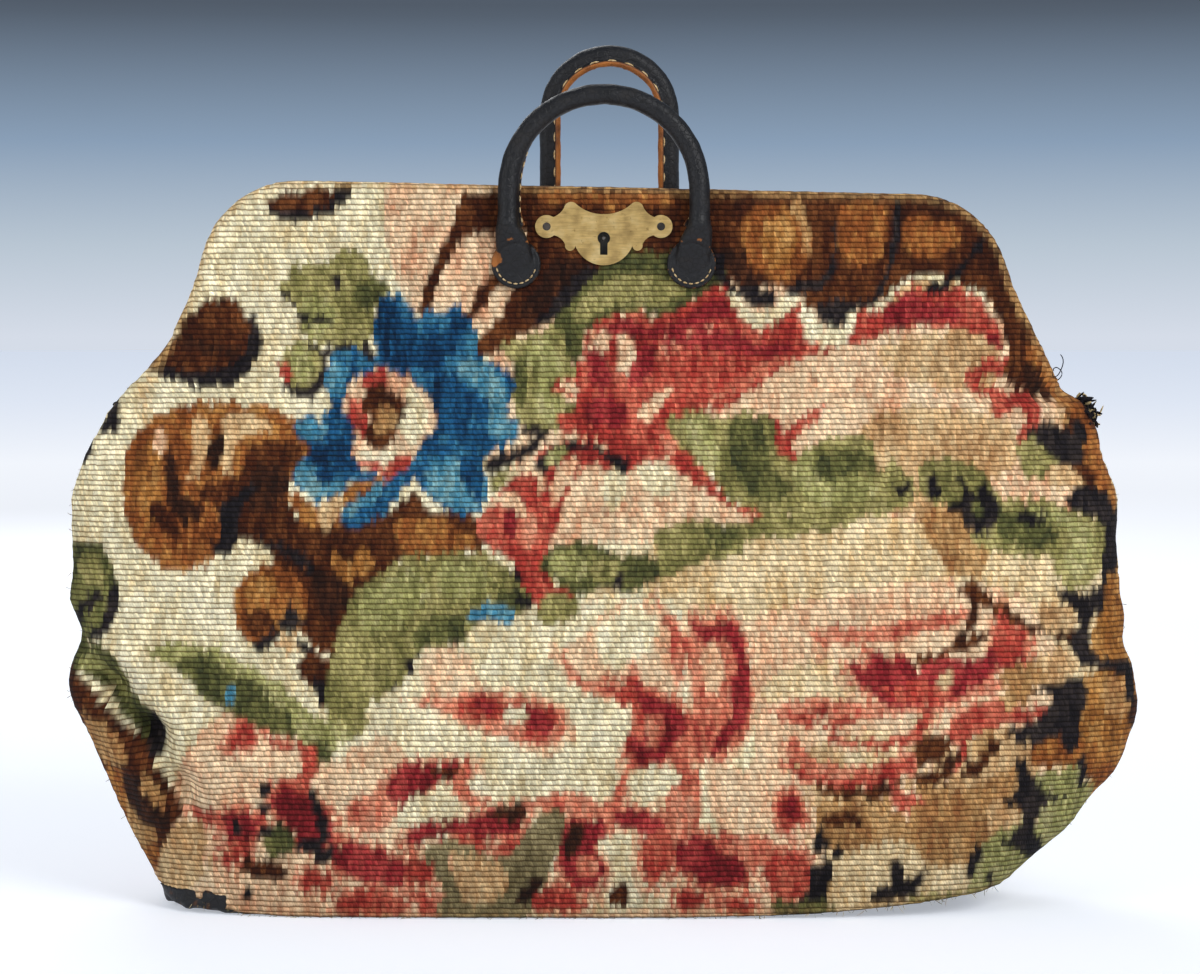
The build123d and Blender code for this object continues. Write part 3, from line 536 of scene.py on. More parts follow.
        (-137, 206), (-135, 213), (-126, 219), (-116, 225), (-108, 233),
    ]),
    ("teal", [(-120, 226), (-112, 230), (-116, 222), (-126, 212), (-134, 208), (-132, 214)]),
    ("blush", [
        (-137, 270), (-132, 280), (-125, 284), (-118, 286), (-110, 284), (-102, 281), (-96, 276),
        (-90, 268), (-88, 259), (-91, 251), (-96, 244), (-102, 237), (-109, 232), (-117, 231),
        (-125, 234), (-131, 241), (-131, 248), (-130, 254), (-136, 262),
    ]),
    ("cream", [(-104, 278), (-97, 272), (-92, 262), (-94, 252), (-102, 248), (-108, 256), (-104, 266)]),
    ("cream", [(-128, 244), (-116, 242), (-106, 240), (-112, 236), (-124, 238)]),
    ("red", [(-126, 282), (-118, 287), (-113, 283), (-115, 276), (-121, 273), (-126, 276)]),
    ("red", [(-135, 272), (-128, 271), (-125, 262), (-121, 256), (-125, 249), (-130, 254), (-133, 262)]),
    ("red", [
        (-129, 237), (-121, 232), (-111, 230), (-103, 233), (-101, 240), (-108, 240), (-115, 235),
        (-123, 237),
    ]),
    ("maroon", [
        (-121, 277), (-114, 277), (-107, 271), (-102, 265), (-107, 259), (-108, 252), (-113, 245),
        (-121, 243), (-126, 250), (-122, 258), (-127, 264), (-125, 272),
    ]),
    ("tan", [(-118, 266), (-110, 266), (-108, 258), (-114, 252), (-120, 254)]),
    # red rose with its cream scallops
    ("red", [
        (-22, 254), (-24, 262), (-14, 266), (-18, 272), (-27, 276), (-24, 281), (-16, 283), (-11, 293),
        (-9, 303), (-2, 311), (8, 315), (18, 316), (24, 312), (32, 315), (42, 319), (50, 323), (58, 328),
        (66, 327), (70, 318), (76, 311), (82, 308), (92, 313), (98, 319), (103, 320), (106, 312),
        (108, 303), (117, 298), (126, 301), (131, 308), (132, 316), (143, 318), (150, 322), (158, 330),
        (164, 332), (170, 327), (180, 331), (190, 328), (198, 322), (206, 311), (209, 302), (203, 299),
        (197, 305), (180, 308), (160, 309), (150, 306), (140, 301), (128, 298), (115, 295), (104, 291),
        (92, 284), (78, 275), (64, 266), (48, 262), (38, 256), (42, 250), (38, 241), (20, 240), (0, 246),
        (-12, 250),
    ]),
    ("blush", [(18, 262), (26, 272), (36, 276), (30, 266), (22, 257)]),
    ("salmon", [(48, 266), (60, 272), (76, 284), (96, 294), (90, 286), (74, 276), (58, 268)]),
    ("blush", [(70, 268), (84, 276), (98, 290), (104, 288), (92, 276), (76, 266)]),
    ("salmon", [(10, 288), (26, 296), (44, 306), (60, 310), (46, 300), (28, 290)]),
    ("blush", [(-8, 298), (-4, 305), (4, 304), (2, 296), (-6, 292)]),
    ("blush", [(8, 302), (16, 303), (16, 288), (8, 284)]),
    ("blush", [(-24, 279), (-18, 281), (-13, 277), (-18, 273)]),
    ("crimson", [
        (0, 308), (12, 313), (24, 308), (40, 312), (56, 322), (64, 322), (66, 314), (52, 308), (36, 304),
        (20, 302), (6, 304),
    ]),
    ("crimson", [
        (30, 300), (50, 306), (66, 306), (82, 300), (100, 300), (90, 292), (70, 294), (50, 296),
    ]),
    ("crimson", [(-8, 296), (0, 294), (4, 282), (-2, 274), (-8, 284)]),
    ("crimson", [(20, 298), (28, 300), (26, 286), (18, 276), (12, 280)]),
    ("crimson", [(-10, 268), (4, 272), (14, 262), (6, 256), (-6, 258)]),
    ("crimson", [(150, 320), (160, 328), (168, 322), (182, 320), (188, 312), (166, 310), (148, 309)]),
    ("salmon", [(30, 250), (44, 252), (42, 244), (32, 243)]),
    ("cream", [
        (66, 329), (71, 325), (75, 318), (82, 316), (91, 321), (96, 327), (101, 327), (103, 322),
        (98, 318), (92, 313), (83, 308), (76, 311), (70, 317), (66, 323),
    ]),
    ("cream", [
        (103, 321), (108, 319), (112, 312), (118, 309), (126, 311), (130, 315), (146, 322), (151, 321),
        (144, 317), (134, 316), (132, 308), (127, 299), (118, 298), (109, 301), (105, 308),
    ]),
    ("sand", [
        (150, 322), (158, 331), (166, 333), (172, 330), (180, 332), (190, 329), (182, 328), (172, 326),
        (164, 329), (157, 325),
    ]),
    # brown field at the top right with its dark veins
    ("maroon", [
        (52, 392), (260, 392), (262, 240), (244, 262), (238, 274), (228, 282), (216, 288), (212, 300),
        (209, 312), (198, 326), (182, 333), (166, 335), (156, 331), (148, 324), (132, 317), (116, 313),
        (104, 323), (92, 328), (74, 328), (66, 334), (60, 346), (56, 360),
    ]),
    ("rust", [(74, 368), (96, 372), (108, 360), (109, 346), (98, 334), (84, 334), (74, 346)]),
    ("amber", [(84, 362), (96, 366), (102, 352), (94, 340), (84, 344)]),
    ("tan", [(98, 372), (103, 374), (108, 358), (108, 344), (105, 346), (103, 360)]),
    ("rust", [(124, 372), (146, 372), (148, 352), (140, 340), (128, 344), (122, 358)]),
    ("rust", [(160, 366), (182, 362), (186, 352), (170, 344), (158, 350)]),
    ("umber", [(60, 346), (74, 350), (76, 338), (92, 330), (74, 330)]),
    ("tan", [(216, 334), (220, 328), (219, 312), (215, 322), (213, 332)]),
    ("rust", [(226, 300), (236, 288), (246, 268), (240, 266), (232, 280), (222, 292)]),
    ("soot", [
        (119, 362), (121, 352), (119, 342), (114, 335), (106, 331), (98, 329), (97, 324), (105, 325),
        (113, 328), (120, 336), (122, 348), (122, 362),
    ]),
    ("soot", [
        (152, 374), (155, 374), (156, 360), (153, 346), (148, 333), (146, 325), (140, 318), (130, 315),
        (124, 308), (117, 308), (112, 314), (114, 321), (128, 322), (140, 323), (146, 334), (150, 348),
    ]),
    ("soot", [
        (200, 357), (196, 351), (188, 342), (178, 334), (168, 330), (172, 326), (182, 331), (192, 341),
        (199, 350),
    ]),
    ("soot", [(68, 328), (78, 328), (90, 327), (89, 321), (82, 317), (75, 320)]),
    ("soot", [(57, 350), (62, 346), (64, 336), (69, 328), (66, 326), (60, 334), (55, 342)]),
    # red stroke, hooks and the dark right edge
    ("red", [(86, 262), (94, 256), (92, 246), (96, 238), (89, 240), (86, 250)]),
    ("red", [
        (90, 246), (96, 254), (104, 261), (112, 267), (117, 268), (113, 261), (104, 254), (98, 246),
        (101, 240), (96, 238),
    ]),
    ("red", [
        (190, 284), (198, 290), (208, 293), (215, 290), (212, 284), (200, 284), (196, 279), (206, 277),
        (213, 273), (222, 274), (229, 268), (228, 258), (222, 250), (221, 242), (216, 245), (218, 254),
        (222, 262), (216, 266), (207, 262), (202, 266), (204, 272), (194, 275), (189, 280),
    ]),
    ("crimson", [(201, 304), (208, 302), (211, 296), (205, 298)]),
    ("maroon", [(214, 292), (224, 290), (232, 280), (226, 274), (216, 276), (210, 284)]),
    ("umber", [(222, 288), (230, 282), (236, 270), (229, 268), (222, 276)]),
    ("rust", [
        (248, 270), (258, 256), (266, 236), (270, 214), (258, 216), (250, 228), (246, 244), (240, 258),
    ]),
    ("maroon", [(244, 262), (252, 256), (250, 240), (258, 226), (248, 226), (242, 244)]),
    ("olive", [(217, 246), (228, 250), (236, 243), (240, 236), (233, 229), (222, 229), (217, 237)]),
    ("soot", [
        (221, 252), (230, 258), (240, 256), (247, 251), (253, 245), (250, 238), (240, 235), (233, 242),
        (227, 247),
    ]),
    ("soot", [(247, 262), (252, 260), (253, 250), (248, 248), (246, 256)]),
    ("sand", [(236, 236), (250, 230), (250, 222), (238, 224), (230, 230)]),
    ("olive", [
        (198, 216), (214, 219), (232, 216), (250, 210), (262, 204), (264, 186), (256, 176), (244, 170),
        (236, 176), (232, 186), (214, 188), (200, 192), (190, 198),
    ]),
    ("lime", [
        (220, 214), (240, 210), (256, 200), (254, 186), (246, 176), (240, 184), (244, 198), (230, 206),
    ]),
    ("moss", [(204, 212), (220, 208), (236, 200), (226, 192), (208, 196)]),
    ("soot", [
        (240, 218), (252, 226), (262, 222), (268, 212), (272, 214), (275, 200), (272, 184), (271, 172),
        (262, 171), (262, 188), (264, 202), (256, 208), (246, 212),
    ]),
    ("soot", [(214, 208), (224, 212), (232, 208), (224, 204)]),
    # leaves under the rose
    ("olive", [
        (32, 259), (42, 263), (52, 263), (62, 261), (72, 263), (84, 262), (90, 256), (90, 246), (94, 240),
        (101, 239), (108, 245), (116, 250), (126, 252), (138, 250), (143, 244), (150, 238), (160, 229),
        (163, 221), (158, 215), (148, 211), (128, 207), (110, 209), (95, 212), (80, 208), (70, 214),
        (62, 222), (54, 232), (44, 240), (39, 248),
    ]),
    ("lime", [(40, 259), (54, 259), (56, 250), (62, 240), (56, 232), (46, 242), (44, 250)]),
    ("lime", [(104, 240), (120, 242), (132, 232), (142, 222), (128, 214), (110, 216), (98, 226)]),
    ("moss", [(66, 258), (82, 258), (86, 246), (88, 234), (98, 222), (84, 216), (72, 224), (66, 238)]),
    ("moss", [(108, 234), (122, 244), (140, 240), (146, 230), (130, 232), (118, 226)]),
    ("sand", [(142, 250), (150, 244), (148, 236), (144, 232), (142, 240)]),
    ("soot", [(150, 224), (158, 226), (161, 221), (154, 220)]),
    ("red", [
        (38, 244), (48, 238), (58, 226), (68, 215), (84, 210), (80, 206), (66, 208), (56, 216), (46, 226),
        (38, 236),
    ]),
    ("olive", [
        (164, 232), (176, 239), (190, 237), (200, 230), (203, 222), (205, 210), (190, 208), (178, 214),
        (168, 216),
    ]),
    ("soot", [(169, 230), (174, 230), (175, 221), (170, 219)]),
    ("soot", [
        (182, 229), (186, 229), (192, 221), (198, 226), (202, 223), (206, 214), (203, 204), (197, 200),
        (189, 202), (184, 210), (177, 212), (184, 217), (188, 222),
    ]),
    ("moss", [(192, 214), (196, 216), (198, 210), (193, 208)]),
    # petals between rose and peony, outlined in black
    ("red", [
        (-66, 200), (-62, 212), (-58, 220), (-50, 226), (-44, 234), (-38, 240), (-28, 244), (-18, 248),
        (0, 246), (14, 243), (30, 241), (38, 236), (40, 230), (20, 236), (12, 230), (-4, 230), (-14, 220),
        (-22, 206), (-26, 194), (-30, 186), (-26, 174), (-12, 168), (-18, 164), (-32, 160), (-40, 168),
        (-44, 176), (-48, 186), (-58, 192),
    ]),
    ("crimson", [(-50, 214), (-42, 218), (-40, 206), (-46, 196), (-52, 204)]),
    ("salmon", [(-46, 204), (-40, 212), (-34, 206), (-38, 192), (-44, 196)]),
    ("blush", [(-60, 214), (-52, 222), (-46, 220), (-40, 212), (-44, 208), (-52, 216)]),
    ("blush", [(-46, 232), (-40, 240), (-34, 238), (-30, 226), (-34, 220), (-36, 230)]),
    ("blush", [(-24, 234), (-18, 240), (-12, 236), (-18, 226), (-26, 214), (-28, 222)]),
    ("blush", [
        (-24, 205), (-18, 222), (-12, 232), (-4, 237), (4, 231), (13, 229), (20, 236), (28, 238),
        (37, 234), (43, 228), (52, 222), (62, 215), (80, 208), (60, 204), (44, 203), (34, 198), (20, 196),
        (5, 195), (-10, 194), (-20, 190), (-28, 192),
    ]),
    ("cream", [(0, 230), (8, 234), (12, 222), (6, 212), (0, 216)]),
    ("cream", [(18, 234), (28, 236), (36, 230), (38, 222), (28, 218), (20, 224)]),
    ("soot", [
        (-63, 237), (-54, 240), (-46, 245), (-36, 249), (-30, 250), (-32, 245), (-40, 240), (-48, 235),
        (-58, 231),
    ]),
    ("soot", [(-40, 256), (-32, 256), (-30, 251), (-38, 250), (-43, 252)]),
    ("olive", [(-58, 230), (-50, 234), (-50, 228), (-58, 222)]),
    ("soot", [
        (-36, 236), (-30, 242), (-22, 248), (-14, 247), (-4, 246), (4, 241), (10, 240), (14, 235),
        (11, 231), (2, 237), (-6, 243), (-18, 243), (-28, 234), (-34, 231),
    ]),
    ("lime", [(-30, 240), (-24, 244), (-18, 242), (-26, 236)]),
    ("moss", [
        (-34, 184), (-28, 192), (-16, 196), (-3, 194), (6, 188), (14, 190), (23, 189), (28, 183),
        (26, 175), (15, 171), (6, 170), (-2, 172), (-10, 168), (-18, 171), (-26, 176),
    ]),
    ("lime", [(-30, 186), (-22, 191), (-12, 190), (-8, 180), (-16, 176), (-26, 180)]),
    ("olive", [(-6, 186), (4, 186), (8, 178), (0, 173), (-6, 176)]),
    ("soot", [(5, 177), (9, 179), (11, 174), (9, 169), (5, 171)]),
    ("olive", [
        (27, 200), (40, 206), (58, 207), (76, 205), (92, 212), (112, 208), (130, 206), (110, 200),
        (76, 196), (72, 190), (60, 188), (48, 184), (36, 178), (29, 177), (28, 188),
    ]),
    ("moss", [(54, 203), (70, 203), (66, 194), (54, 194)]),
    ("olive", [(-34, 162), (-27, 168), (-16, 167), (-11, 160), (-17, 153), (-26, 150), (-33, 155)]),
    ("soot", [(-50, 180), (-45, 181), (-43, 175), (-47, 171), (-51, 174)]),
    # great olive leaf and the long green leaf
    ("olive", [
        (-138, 146), (-133, 160), (-127, 170), (-114, 180), (-102, 188), (-85, 190), (-62, 189),
        (-52, 185), (-47, 178), (-40, 170), (-37, 163), (-44, 158), (-62, 155), (-69, 150), (-72, 142),
        (-84, 141), (-95, 138), (-98, 130), (-103, 122), (-112, 114), (-120, 109), (-122, 100),
        (-130, 94), (-140, 102), (-144, 116), (-141, 132),
    ]),
    ("lime", [(-126, 166), (-112, 176), (-100, 182), (-90, 170), (-100, 156), (-114, 150), (-124, 150)]),
    ("lime", [(-84, 184), (-66, 184), (-58, 176), (-70, 168), (-84, 168)]),
    ("moss", [(-100, 148), (-88, 158), (-74, 156), (-72, 144), (-86, 143), (-96, 140)]),
    ("moss", [(-52, 170), (-42, 170), (-38, 163), (-46, 160), (-56, 162)]),
    ("teal", [(-70, 158), (-60, 163), (-50, 162), (-45, 158), (-52, 152), (-62, 155)]),
    ("soot", [(-46, 168), (-39, 168), (-37, 163), (-42, 161)]),
    ("soot", [(-102, 134), (-98, 137), (-95, 134), (-97, 128), (-101, 128)]),
    ("soot", [(-109, 119), (-104, 122), (-101, 118), (-104, 113), (-110, 114)]),
    ("lime", [
        (-237, 139), (-228, 142), (-214, 142), (-200, 141), (-190, 135), (-178, 128), (-168, 122),
        (-158, 114), (-150, 108), (-142, 104), (-134, 100), (-128, 96), (-136, 90), (-144, 84),
        (-150, 77), (-153, 81), (-158, 91), (-170, 94), (-178, 99), (-188, 104), (-200, 110), (-210, 117),
        (-216, 125), (-226, 131),
    ]),
    ("moss", [
        (-222, 134), (-206, 137), (-195, 130), (-180, 122), (-168, 112), (-160, 104), (-158, 92),
        (-171, 95), (-184, 102), (-198, 110), (-210, 118), (-216, 126),
    ]),
    ("moss", [(-152, 92), (-144, 92), (-140, 86), (-150, 77), (-154, 84)]),
    ("teal", [(-195, 120), (-191, 120), (-191, 112), (-195, 112)]),
    # left edge: leaf, band, and under the fold a maroon field that is partly painted shade, with browns over
    # it
    ("moss", [
        (-290, 190), (-272, 195), (-264, 193), (-258, 187), (-254, 178), (-253, 168), (-255, 158),
        (-260, 150), (-268, 144), (-290, 142),
    ]),
    ("olive", [(-274, 188), (-264, 188), (-260, 176), (-266, 172), (-274, 178)]),
    ("soot", [
        (-254, 175), (-252, 166), (-255, 156), (-261, 147), (-268, 143), (-273, 147), (-265, 151),
        (-260, 160), (-258, 170),
    ]),
    ("soot", [(-266, 170), (-262, 167), (-270, 158), (-276, 152), (-284, 150), (-284, 157), (-272, 164)]),
    # the maroon field below the lower-left fold line: its darkness is partly painted shade of the fold
    ("maroon", [
        (-290, 140), (-272, 122), (-258, 108), (-246, 98), (-238, 88), (-232, 76), (-224, 66), (-220, 54),
        (-228, 40), (-236, 24), (-290, 0),
    ]),
    ("moss", [
        (-290, 142), (-270, 142), (-258, 140), (-252, 133), (-248, 125), (-242, 115), (-235, 108),
        (-231, 100), (-230, 90), (-232, 84), (-237, 88), (-241, 95), (-248, 103), (-256, 112),
        (-264, 119), (-272, 126), (-290, 136),
    ]),
    ("lime", [(-272, 138), (-262, 134), (-254, 124), (-248, 114), (-256, 118), (-266, 126), (-276, 132)]),
    ("soot", [(-236, 106), (-231, 103), (-229, 92), (-231, 82), (-236, 84), (-238, 95)]),
    ("tan", [(-272, 104), (-262, 102), (-252, 92), (-248, 82), (-256, 78), (-268, 82), (-274, 92)]),
    ("rust", [(-266, 76), (-254, 76), (-244, 60), (-250, 44), (-262, 54)]),
    ("tan", [(-250, 60), (-240, 56), (-234, 40), (-240, 28), (-250, 38)]),
    ("umber", [(-252, 72), (-242, 74), (-232, 60), (-226, 50), (-238, 46), (-248, 56)]),
    ("tan", [(-240, 74), (-232, 66), (-228, 56), (-234, 58), (-242, 66)]),
    ("rust", [(-244, 34), (-230, 34), (-214, 28), (-218, 18), (-236, 20)]),
    # lower left flower
    ("blush", [
        (-203, 98), (-190, 104), (-176, 98), (-158, 92), (-150, 80), (-138, 84), (-116, 96), (-90, 92),
        (-70, 80), (-70, 20), (-100, 0), (-232, 0), (-226, 30), (-222, 52), (-208, 66), (-200, 80),
    ]),
    ("sand", [(-224, 46), (-208, 48), (-204, 28), (-216, 14), (-236, 10), (-234, 26)]),
    ("red", [(-194, 92), (-187, 101), (-180, 100), (-181, 92), (-188, 88)]),
    ("red", [
        (-176, 96), (-164, 92), (-150, 90), (-148, 80), (-152, 68), (-146, 60), (-142, 48), (-150, 40),
        (-164, 56), (-172, 60), (-168, 72), (-160, 78), (-166, 86),
    ]),
    ("blush", [(-168, 84), (-158, 86), (-156, 76), (-164, 72)]),
    ("crimson", [(-172, 62), (-164, 68), (-152, 62), (-142, 56), (-140, 40), (-152, 38), (-162, 46)]),
    ("crimson", [(-198, 52), (-188, 56), (-178, 50), (-184, 42), (-196, 42)]),
    ("red", [(-196, 36), (-186, 38), (-186, 30), (-198, 30)]),
    ("red", [(-216, 57), (-204, 55), (-196, 48), (-204, 48), (-214, 53)]),
    ("moss", [(-176, 48), (-166, 49), (-160, 42), (-162, 34), (-172, 32), (-177, 40)]),
    ("soot", [(-178, 71), (-174, 71), (-172, 65), (-177, 64)]),
    ("soot", [
        (-153, 68), (-148, 67), (-146, 60), (-143, 52), (-141, 42), (-146, 41), (-149, 52), (-151, 60),
    ]),
    ("soot", [(-179, 60), (-173, 60), (-174, 55), (-179, 55)]),
    ("soot", [(-179, 47), (-172, 49), (-173, 44), (-179, 42)]),
    ("soot", [(-159, 40), (-150, 43), (-144, 36), (-150, 34), (-158, 36)]),
    ("soot", [(-193, 50), (-189, 50), (-188, 42), (-192, 42)]),
    ("maroon", [(-189, 28), (-182, 31), (-170, 29), (-164, 25), (-168, 20), (-182, 20), (-188, 23)]),
    ("soot", [(-149, 35), (-138, 37), (-138, 30), (-148, 28)]),
    ("soot", [(-188, 13), (-183, 15), (-182, 10), (-187, 9)]),
    ("crimson", [(-140, 38), (-126, 40), (-112, 34), (-102, 28), (-108, 16), (-122, 20), (-136, 26)]),
    ("red", [(-132, 14), (-114, 16), (-104, 8), (-112, 2), (-138, 4)]),
    ("red", [(-156, 24), (-142, 24), (-142, 16), (-156, 16)]),
    # central peony
    ("cream", [
        (-124, 108), (-104, 122), (-92, 140), (-72, 143), (-58, 154), (-30, 150), (-18, 156), (0, 166),
        (24, 170), (40, 160), (50, 154), (66, 154), (76, 140), (78, 90), (70, 70), (60, 30), (40, 8),
        (-60, 0), (-88, 14), (-96, 60), (-104, 88),
    ]),
    ("blush", [(-92, 138), (-76, 142), (-66, 128), (-68, 116), (-84, 112), (-94, 122)]),
    ("salmon", [
        (-98, 112), (-80, 116), (-62, 118), (-48, 114), (-34, 114), (-24, 108), (-26, 98), (-40, 92),
        (-54, 96), (-66, 100), (-84, 108),
    ]),
    ("red", [
        (-74, 112), (-62, 117), (-52, 112), (-42, 113), (-32, 110), (-24, 106), (-28, 96), (-38, 92),
        (-42, 98), (-34, 102), (-46, 105), (-58, 106), (-68, 106),
    ]),
    ("crimson", [(-66, 114), (-58, 114), (-56, 109), (-64, 108)]),
    ("crimson", [(-40, 111), (-30, 107), (-26, 100), (-34, 97), (-40, 104)]),
    ("cream", [(-52, 108), (-42, 110), (-40, 104), (-48, 101)]),
    ("blush", [
        (-20, 138), (-8, 150), (6, 162), (28, 164), (40, 150), (38, 120), (24, 116), (0, 118), (-12, 126),
    ]),
    ("cream", [(-4, 148), (10, 160), (22, 160), (28, 148), (16, 134), (2, 130)]),
    ("salmon", [(-20, 138), (-12, 126), (0, 122), (8, 114), (2, 116), (-14, 122), (-22, 134)]),
    ("salmon", [(26, 164), (34, 158), (40, 150), (42, 132), (38, 120), (34, 132), (34, 148)]),
    ("salmon", [
        (44, 152), (66, 154), (74, 140), (75, 108), (66, 90), (54, 84), (36, 82), (36, 100), (46, 106),
        (44, 128),
    ]),
    ("crimson", [
        (45, 153), (54, 153), (66, 154), (72, 144), (75, 124), (73, 104), (64, 92), (54, 84), (58, 96),
        (66, 106), (64, 120), (68, 132), (62, 146), (52, 143),
    ]),
    ("blush", [(50, 140), (58, 142), (62, 130), (58, 118), (52, 122)]),
    ("red", [
        (2, 120), (12, 122), (18, 126), (22, 119), (32, 114), (40, 108), (44, 100), (46, 96), (38, 98),
        (34, 86), (24, 80), (16, 82), (11, 90), (16, 98), (16, 106), (10, 112),
    ]),
    ("crimson", [
        (16, 122), (26, 116), (36, 112), (42, 100), (36, 92), (26, 82), (16, 84), (14, 94), (22, 98),
        (20, 110),
    ]),
    ("salmon", [(22, 106), (30, 106), (30, 92), (23, 90)]),
    ("salmon", [
        (-24, 66), (-10, 66), (0, 60), (8, 72), (12, 80), (14, 74), (8, 58), (0, 54), (-20, 56),
        (-40, 58), (-40, 62),
    ]),
    ("salmon", [
        (36, 80), (48, 78), (50, 60), (50, 44), (60, 46), (90, 42), (92, 30), (70, 28), (56, 20),
        (40, 34), (28, 44), (32, 62),
    ]),
    ("cream", [(14, 78), (32, 80), (40, 72), (28, 64), (14, 66)]),
    ("blush", [(54, 78), (74, 78), (88, 62), (86, 46), (58, 50)]),
    ("crimson", [(6, 57), (18, 58), (30, 52), (34, 42), (26, 40), (18, 46), (8, 50)]),
    ("crimson", [(38, 40), (50, 44), (60, 36), (72, 30), (72, 20), (56, 18), (44, 24), (36, 32)]),
    ("red", [(22, 44), (34, 46), (36, 30), (26, 20), (20, 30)]),
    ("red", [(40, 14), (52, 13), (50, 7), (40, 7)]),
    ("red", [(62, 11), (76, 11), (76, 4), (64, 4)]),
    ("red", [(84, 30), (100, 36), (106, 26), (104, 12), (90, 12), (84, 20)]),
    ("crimson", [
        (-102, 80), (-86, 82), (-74, 81), (-72, 75), (-84, 72), (-94, 66), (-106, 58), (-112, 66),
        (-108, 76),
    ]),
    ("maroon", [(-88, 78), (-74, 78), (-74, 74), (-86, 74)]),
    ("salmon", [(-76, 76), (-66, 66), (-58, 60), (-66, 58), (-78, 64)]),
    ("salmon", [(-128, 64), (-112, 66), (-108, 54), (-122, 44), (-134, 52)]),
    ("cream", [(-106, 56), (-94, 66), (-80, 68), (-74, 60), (-88, 52), (-104, 46)]),
    ("crimson", [
        (-102, 44), (-90, 50), (-76, 52), (-62, 58), (-48, 60), (-42, 54), (-46, 46), (-56, 44),
        (-66, 46), (-84, 44), (-98, 38),
    ]),
    ("umber", [(-62, 56), (-46, 60), (-40, 54), (-44, 50), (-56, 52)]),
    ("red", [(-74, 42), (-64, 44), (-60, 38), (-70, 36)]),
    ("red", [(-54, 38), (-46, 42), (-42, 38), (-52, 34)]),
    ("grey", [
        (-92, 38), (-76, 42), (-60, 34), (-50, 34), (-40, 46), (-30, 56), (-20, 56), (-22, 40), (-28, 24),
        (-36, 8), (-46, 0), (-86, 2), (-82, 16), (-92, 28),
    ]),
    ("sand", [(-80, 34), (-62, 32), (-50, 24), (-52, 12), (-68, 8), (-76, 18)]),
    ("umber", [(-46, 10), (-36, 10), (-30, 22), (-38, 20)]),
    ("red", [(-100, 30), (-92, 32), (-88, 24), (-96, 18), (-104, 22)]),
    ("red", [(-98, 14), (-90, 12), (-86, 4), (-96, 4)]),
    ("crimson", [
        (-20, 50), (-10, 52), (0, 52), (2, 44), (-6, 38), (0, 28), (-4, 18), (-14, 16), (-22, 28),
        (-22, 40),
    ]),
    ("umber", [(-18, 50), (-10, 48), (-14, 36), (-20, 34)]),
    ("salmon", [(-12, 34), (-4, 32), (-4, 24), (-14, 24)]),
    ("red", [(-30, 16), (-18, 18), (-14, 6), (-26, 4), (-38, 8)]),
    ("maroon", [(4, 16), (10, 20), (14, 10), (8, 6), (2, 8)]),
    # cream peony on the right with its crimson heart
    ("red", [(90, 60), (95, 66), (101, 62), (102, 52), (96, 47), (91, 50)]),
    ("crimson", [(93, 60), (98, 63), (100, 54), (95, 51)]),
    ("crimson", [
        (127, 134), (134, 130), (138, 138), (143, 140), (148, 133), (156, 138), (162, 130), (170, 137),
        (180, 136), (190, 134), (198, 140), (202, 146), (206, 154), (212, 148), (217, 146), (216, 134),
        (206, 132), (198, 126), (188, 118), (176, 112), (166, 112), (154, 110), (144, 112), (138, 118),
        (130, 124),
    ]),
    ("red", [(140, 122), (150, 114), (164, 112), (180, 114), (172, 122), (158, 124), (150, 120)]),
    ("maroon", [(160, 132), (176, 136), (194, 142), (200, 148), (192, 148), (176, 140), (164, 138)]),
    ("umber", [(180, 144), (190, 148), (194, 160), (192, 172), (186, 172), (190, 160)]),
    ("sand", [(172, 126), (180, 128), (180, 120), (174, 119)]),
    ("red", [(205, 162), (209, 156), (216, 150), (218, 142), (212, 132), (204, 134), (202, 146)]),
    ("maroon", [
        (182, 172), (192, 174), (200, 168), (210, 162), (218, 154), (230, 152), (222, 148), (212, 154),
        (202, 160), (192, 164),
    ]),
    ("sand", [(226, 162), (240, 162), (246, 152), (240, 146), (228, 150)]),
    ("umber", [(228, 148), (238, 144), (246, 146), (246, 150), (236, 148)]),
    ("sand", [(224, 136), (240, 140), (246, 132), (240, 122), (226, 124)]),
    ("tan", [(206, 128), (222, 132), (230, 124), (216, 118), (206, 122)]),
    ("red", [
        (94, 108), (102, 106), (108, 107), (114, 112), (115, 108), (108, 103), (122, 104), (128, 106),
        (127, 102), (120, 100), (122, 94), (130, 93), (146, 94), (158, 98), (164, 107), (166, 112),
        (168, 104), (162, 94), (148, 90), (132, 90), (118, 92), (116, 99), (104, 101), (96, 103),
    ]),
    ("red", [
        (178, 100), (184, 106), (194, 112), (206, 113), (208, 108), (218, 108), (232, 112), (232, 106),
        (222, 102), (208, 102), (196, 98), (188, 94), (186, 84), (182, 76), (184, 90), (178, 94),
    ]),
    ("maroon", [(160, 92), (170, 96), (180, 92), (174, 84), (162, 80)]),
    ("red", [
        (96, 84), (100, 80), (112, 76), (128, 74), (144, 80), (158, 84), (160, 78), (146, 72), (130, 68),
        (114, 70), (102, 74), (95, 80),
    ]),
    ("maroon", [(110, 70), (128, 68), (146, 68), (154, 74), (148, 66), (128, 63), (112, 65)]),
    ("maroon", [
        (160, 76), (176, 78), (190, 74), (198, 80), (206, 92), (200, 92), (190, 82), (176, 72), (162, 70),
    ]),
    ("blush", [(148, 66), (160, 68), (166, 58), (158, 52), (148, 58)]),
    ("red", [(148, 64), (156, 66), (166, 60), (172, 58), (164, 56), (152, 58)]),
    ("tan", [(112, 62), (140, 60), (150, 46), (130, 36), (112, 40)]),
    ("maroon", [(114, 56), (130, 56), (132, 50), (116, 50)]),
    ("tan", [(160, 60), (200, 56), (206, 40), (190, 28), (166, 30)]),
    ("soot", [(108, 44), (114, 46), (116, 36), (110, 32)]),
    ("soot", [(120, 38), (124, 36), (122, 30), (118, 32)]),
    ("soot", [(108, 28), (116, 30), (118, 22), (114, 8), (106, 4), (100, 8), (106, 16)]),
    ("soot", [
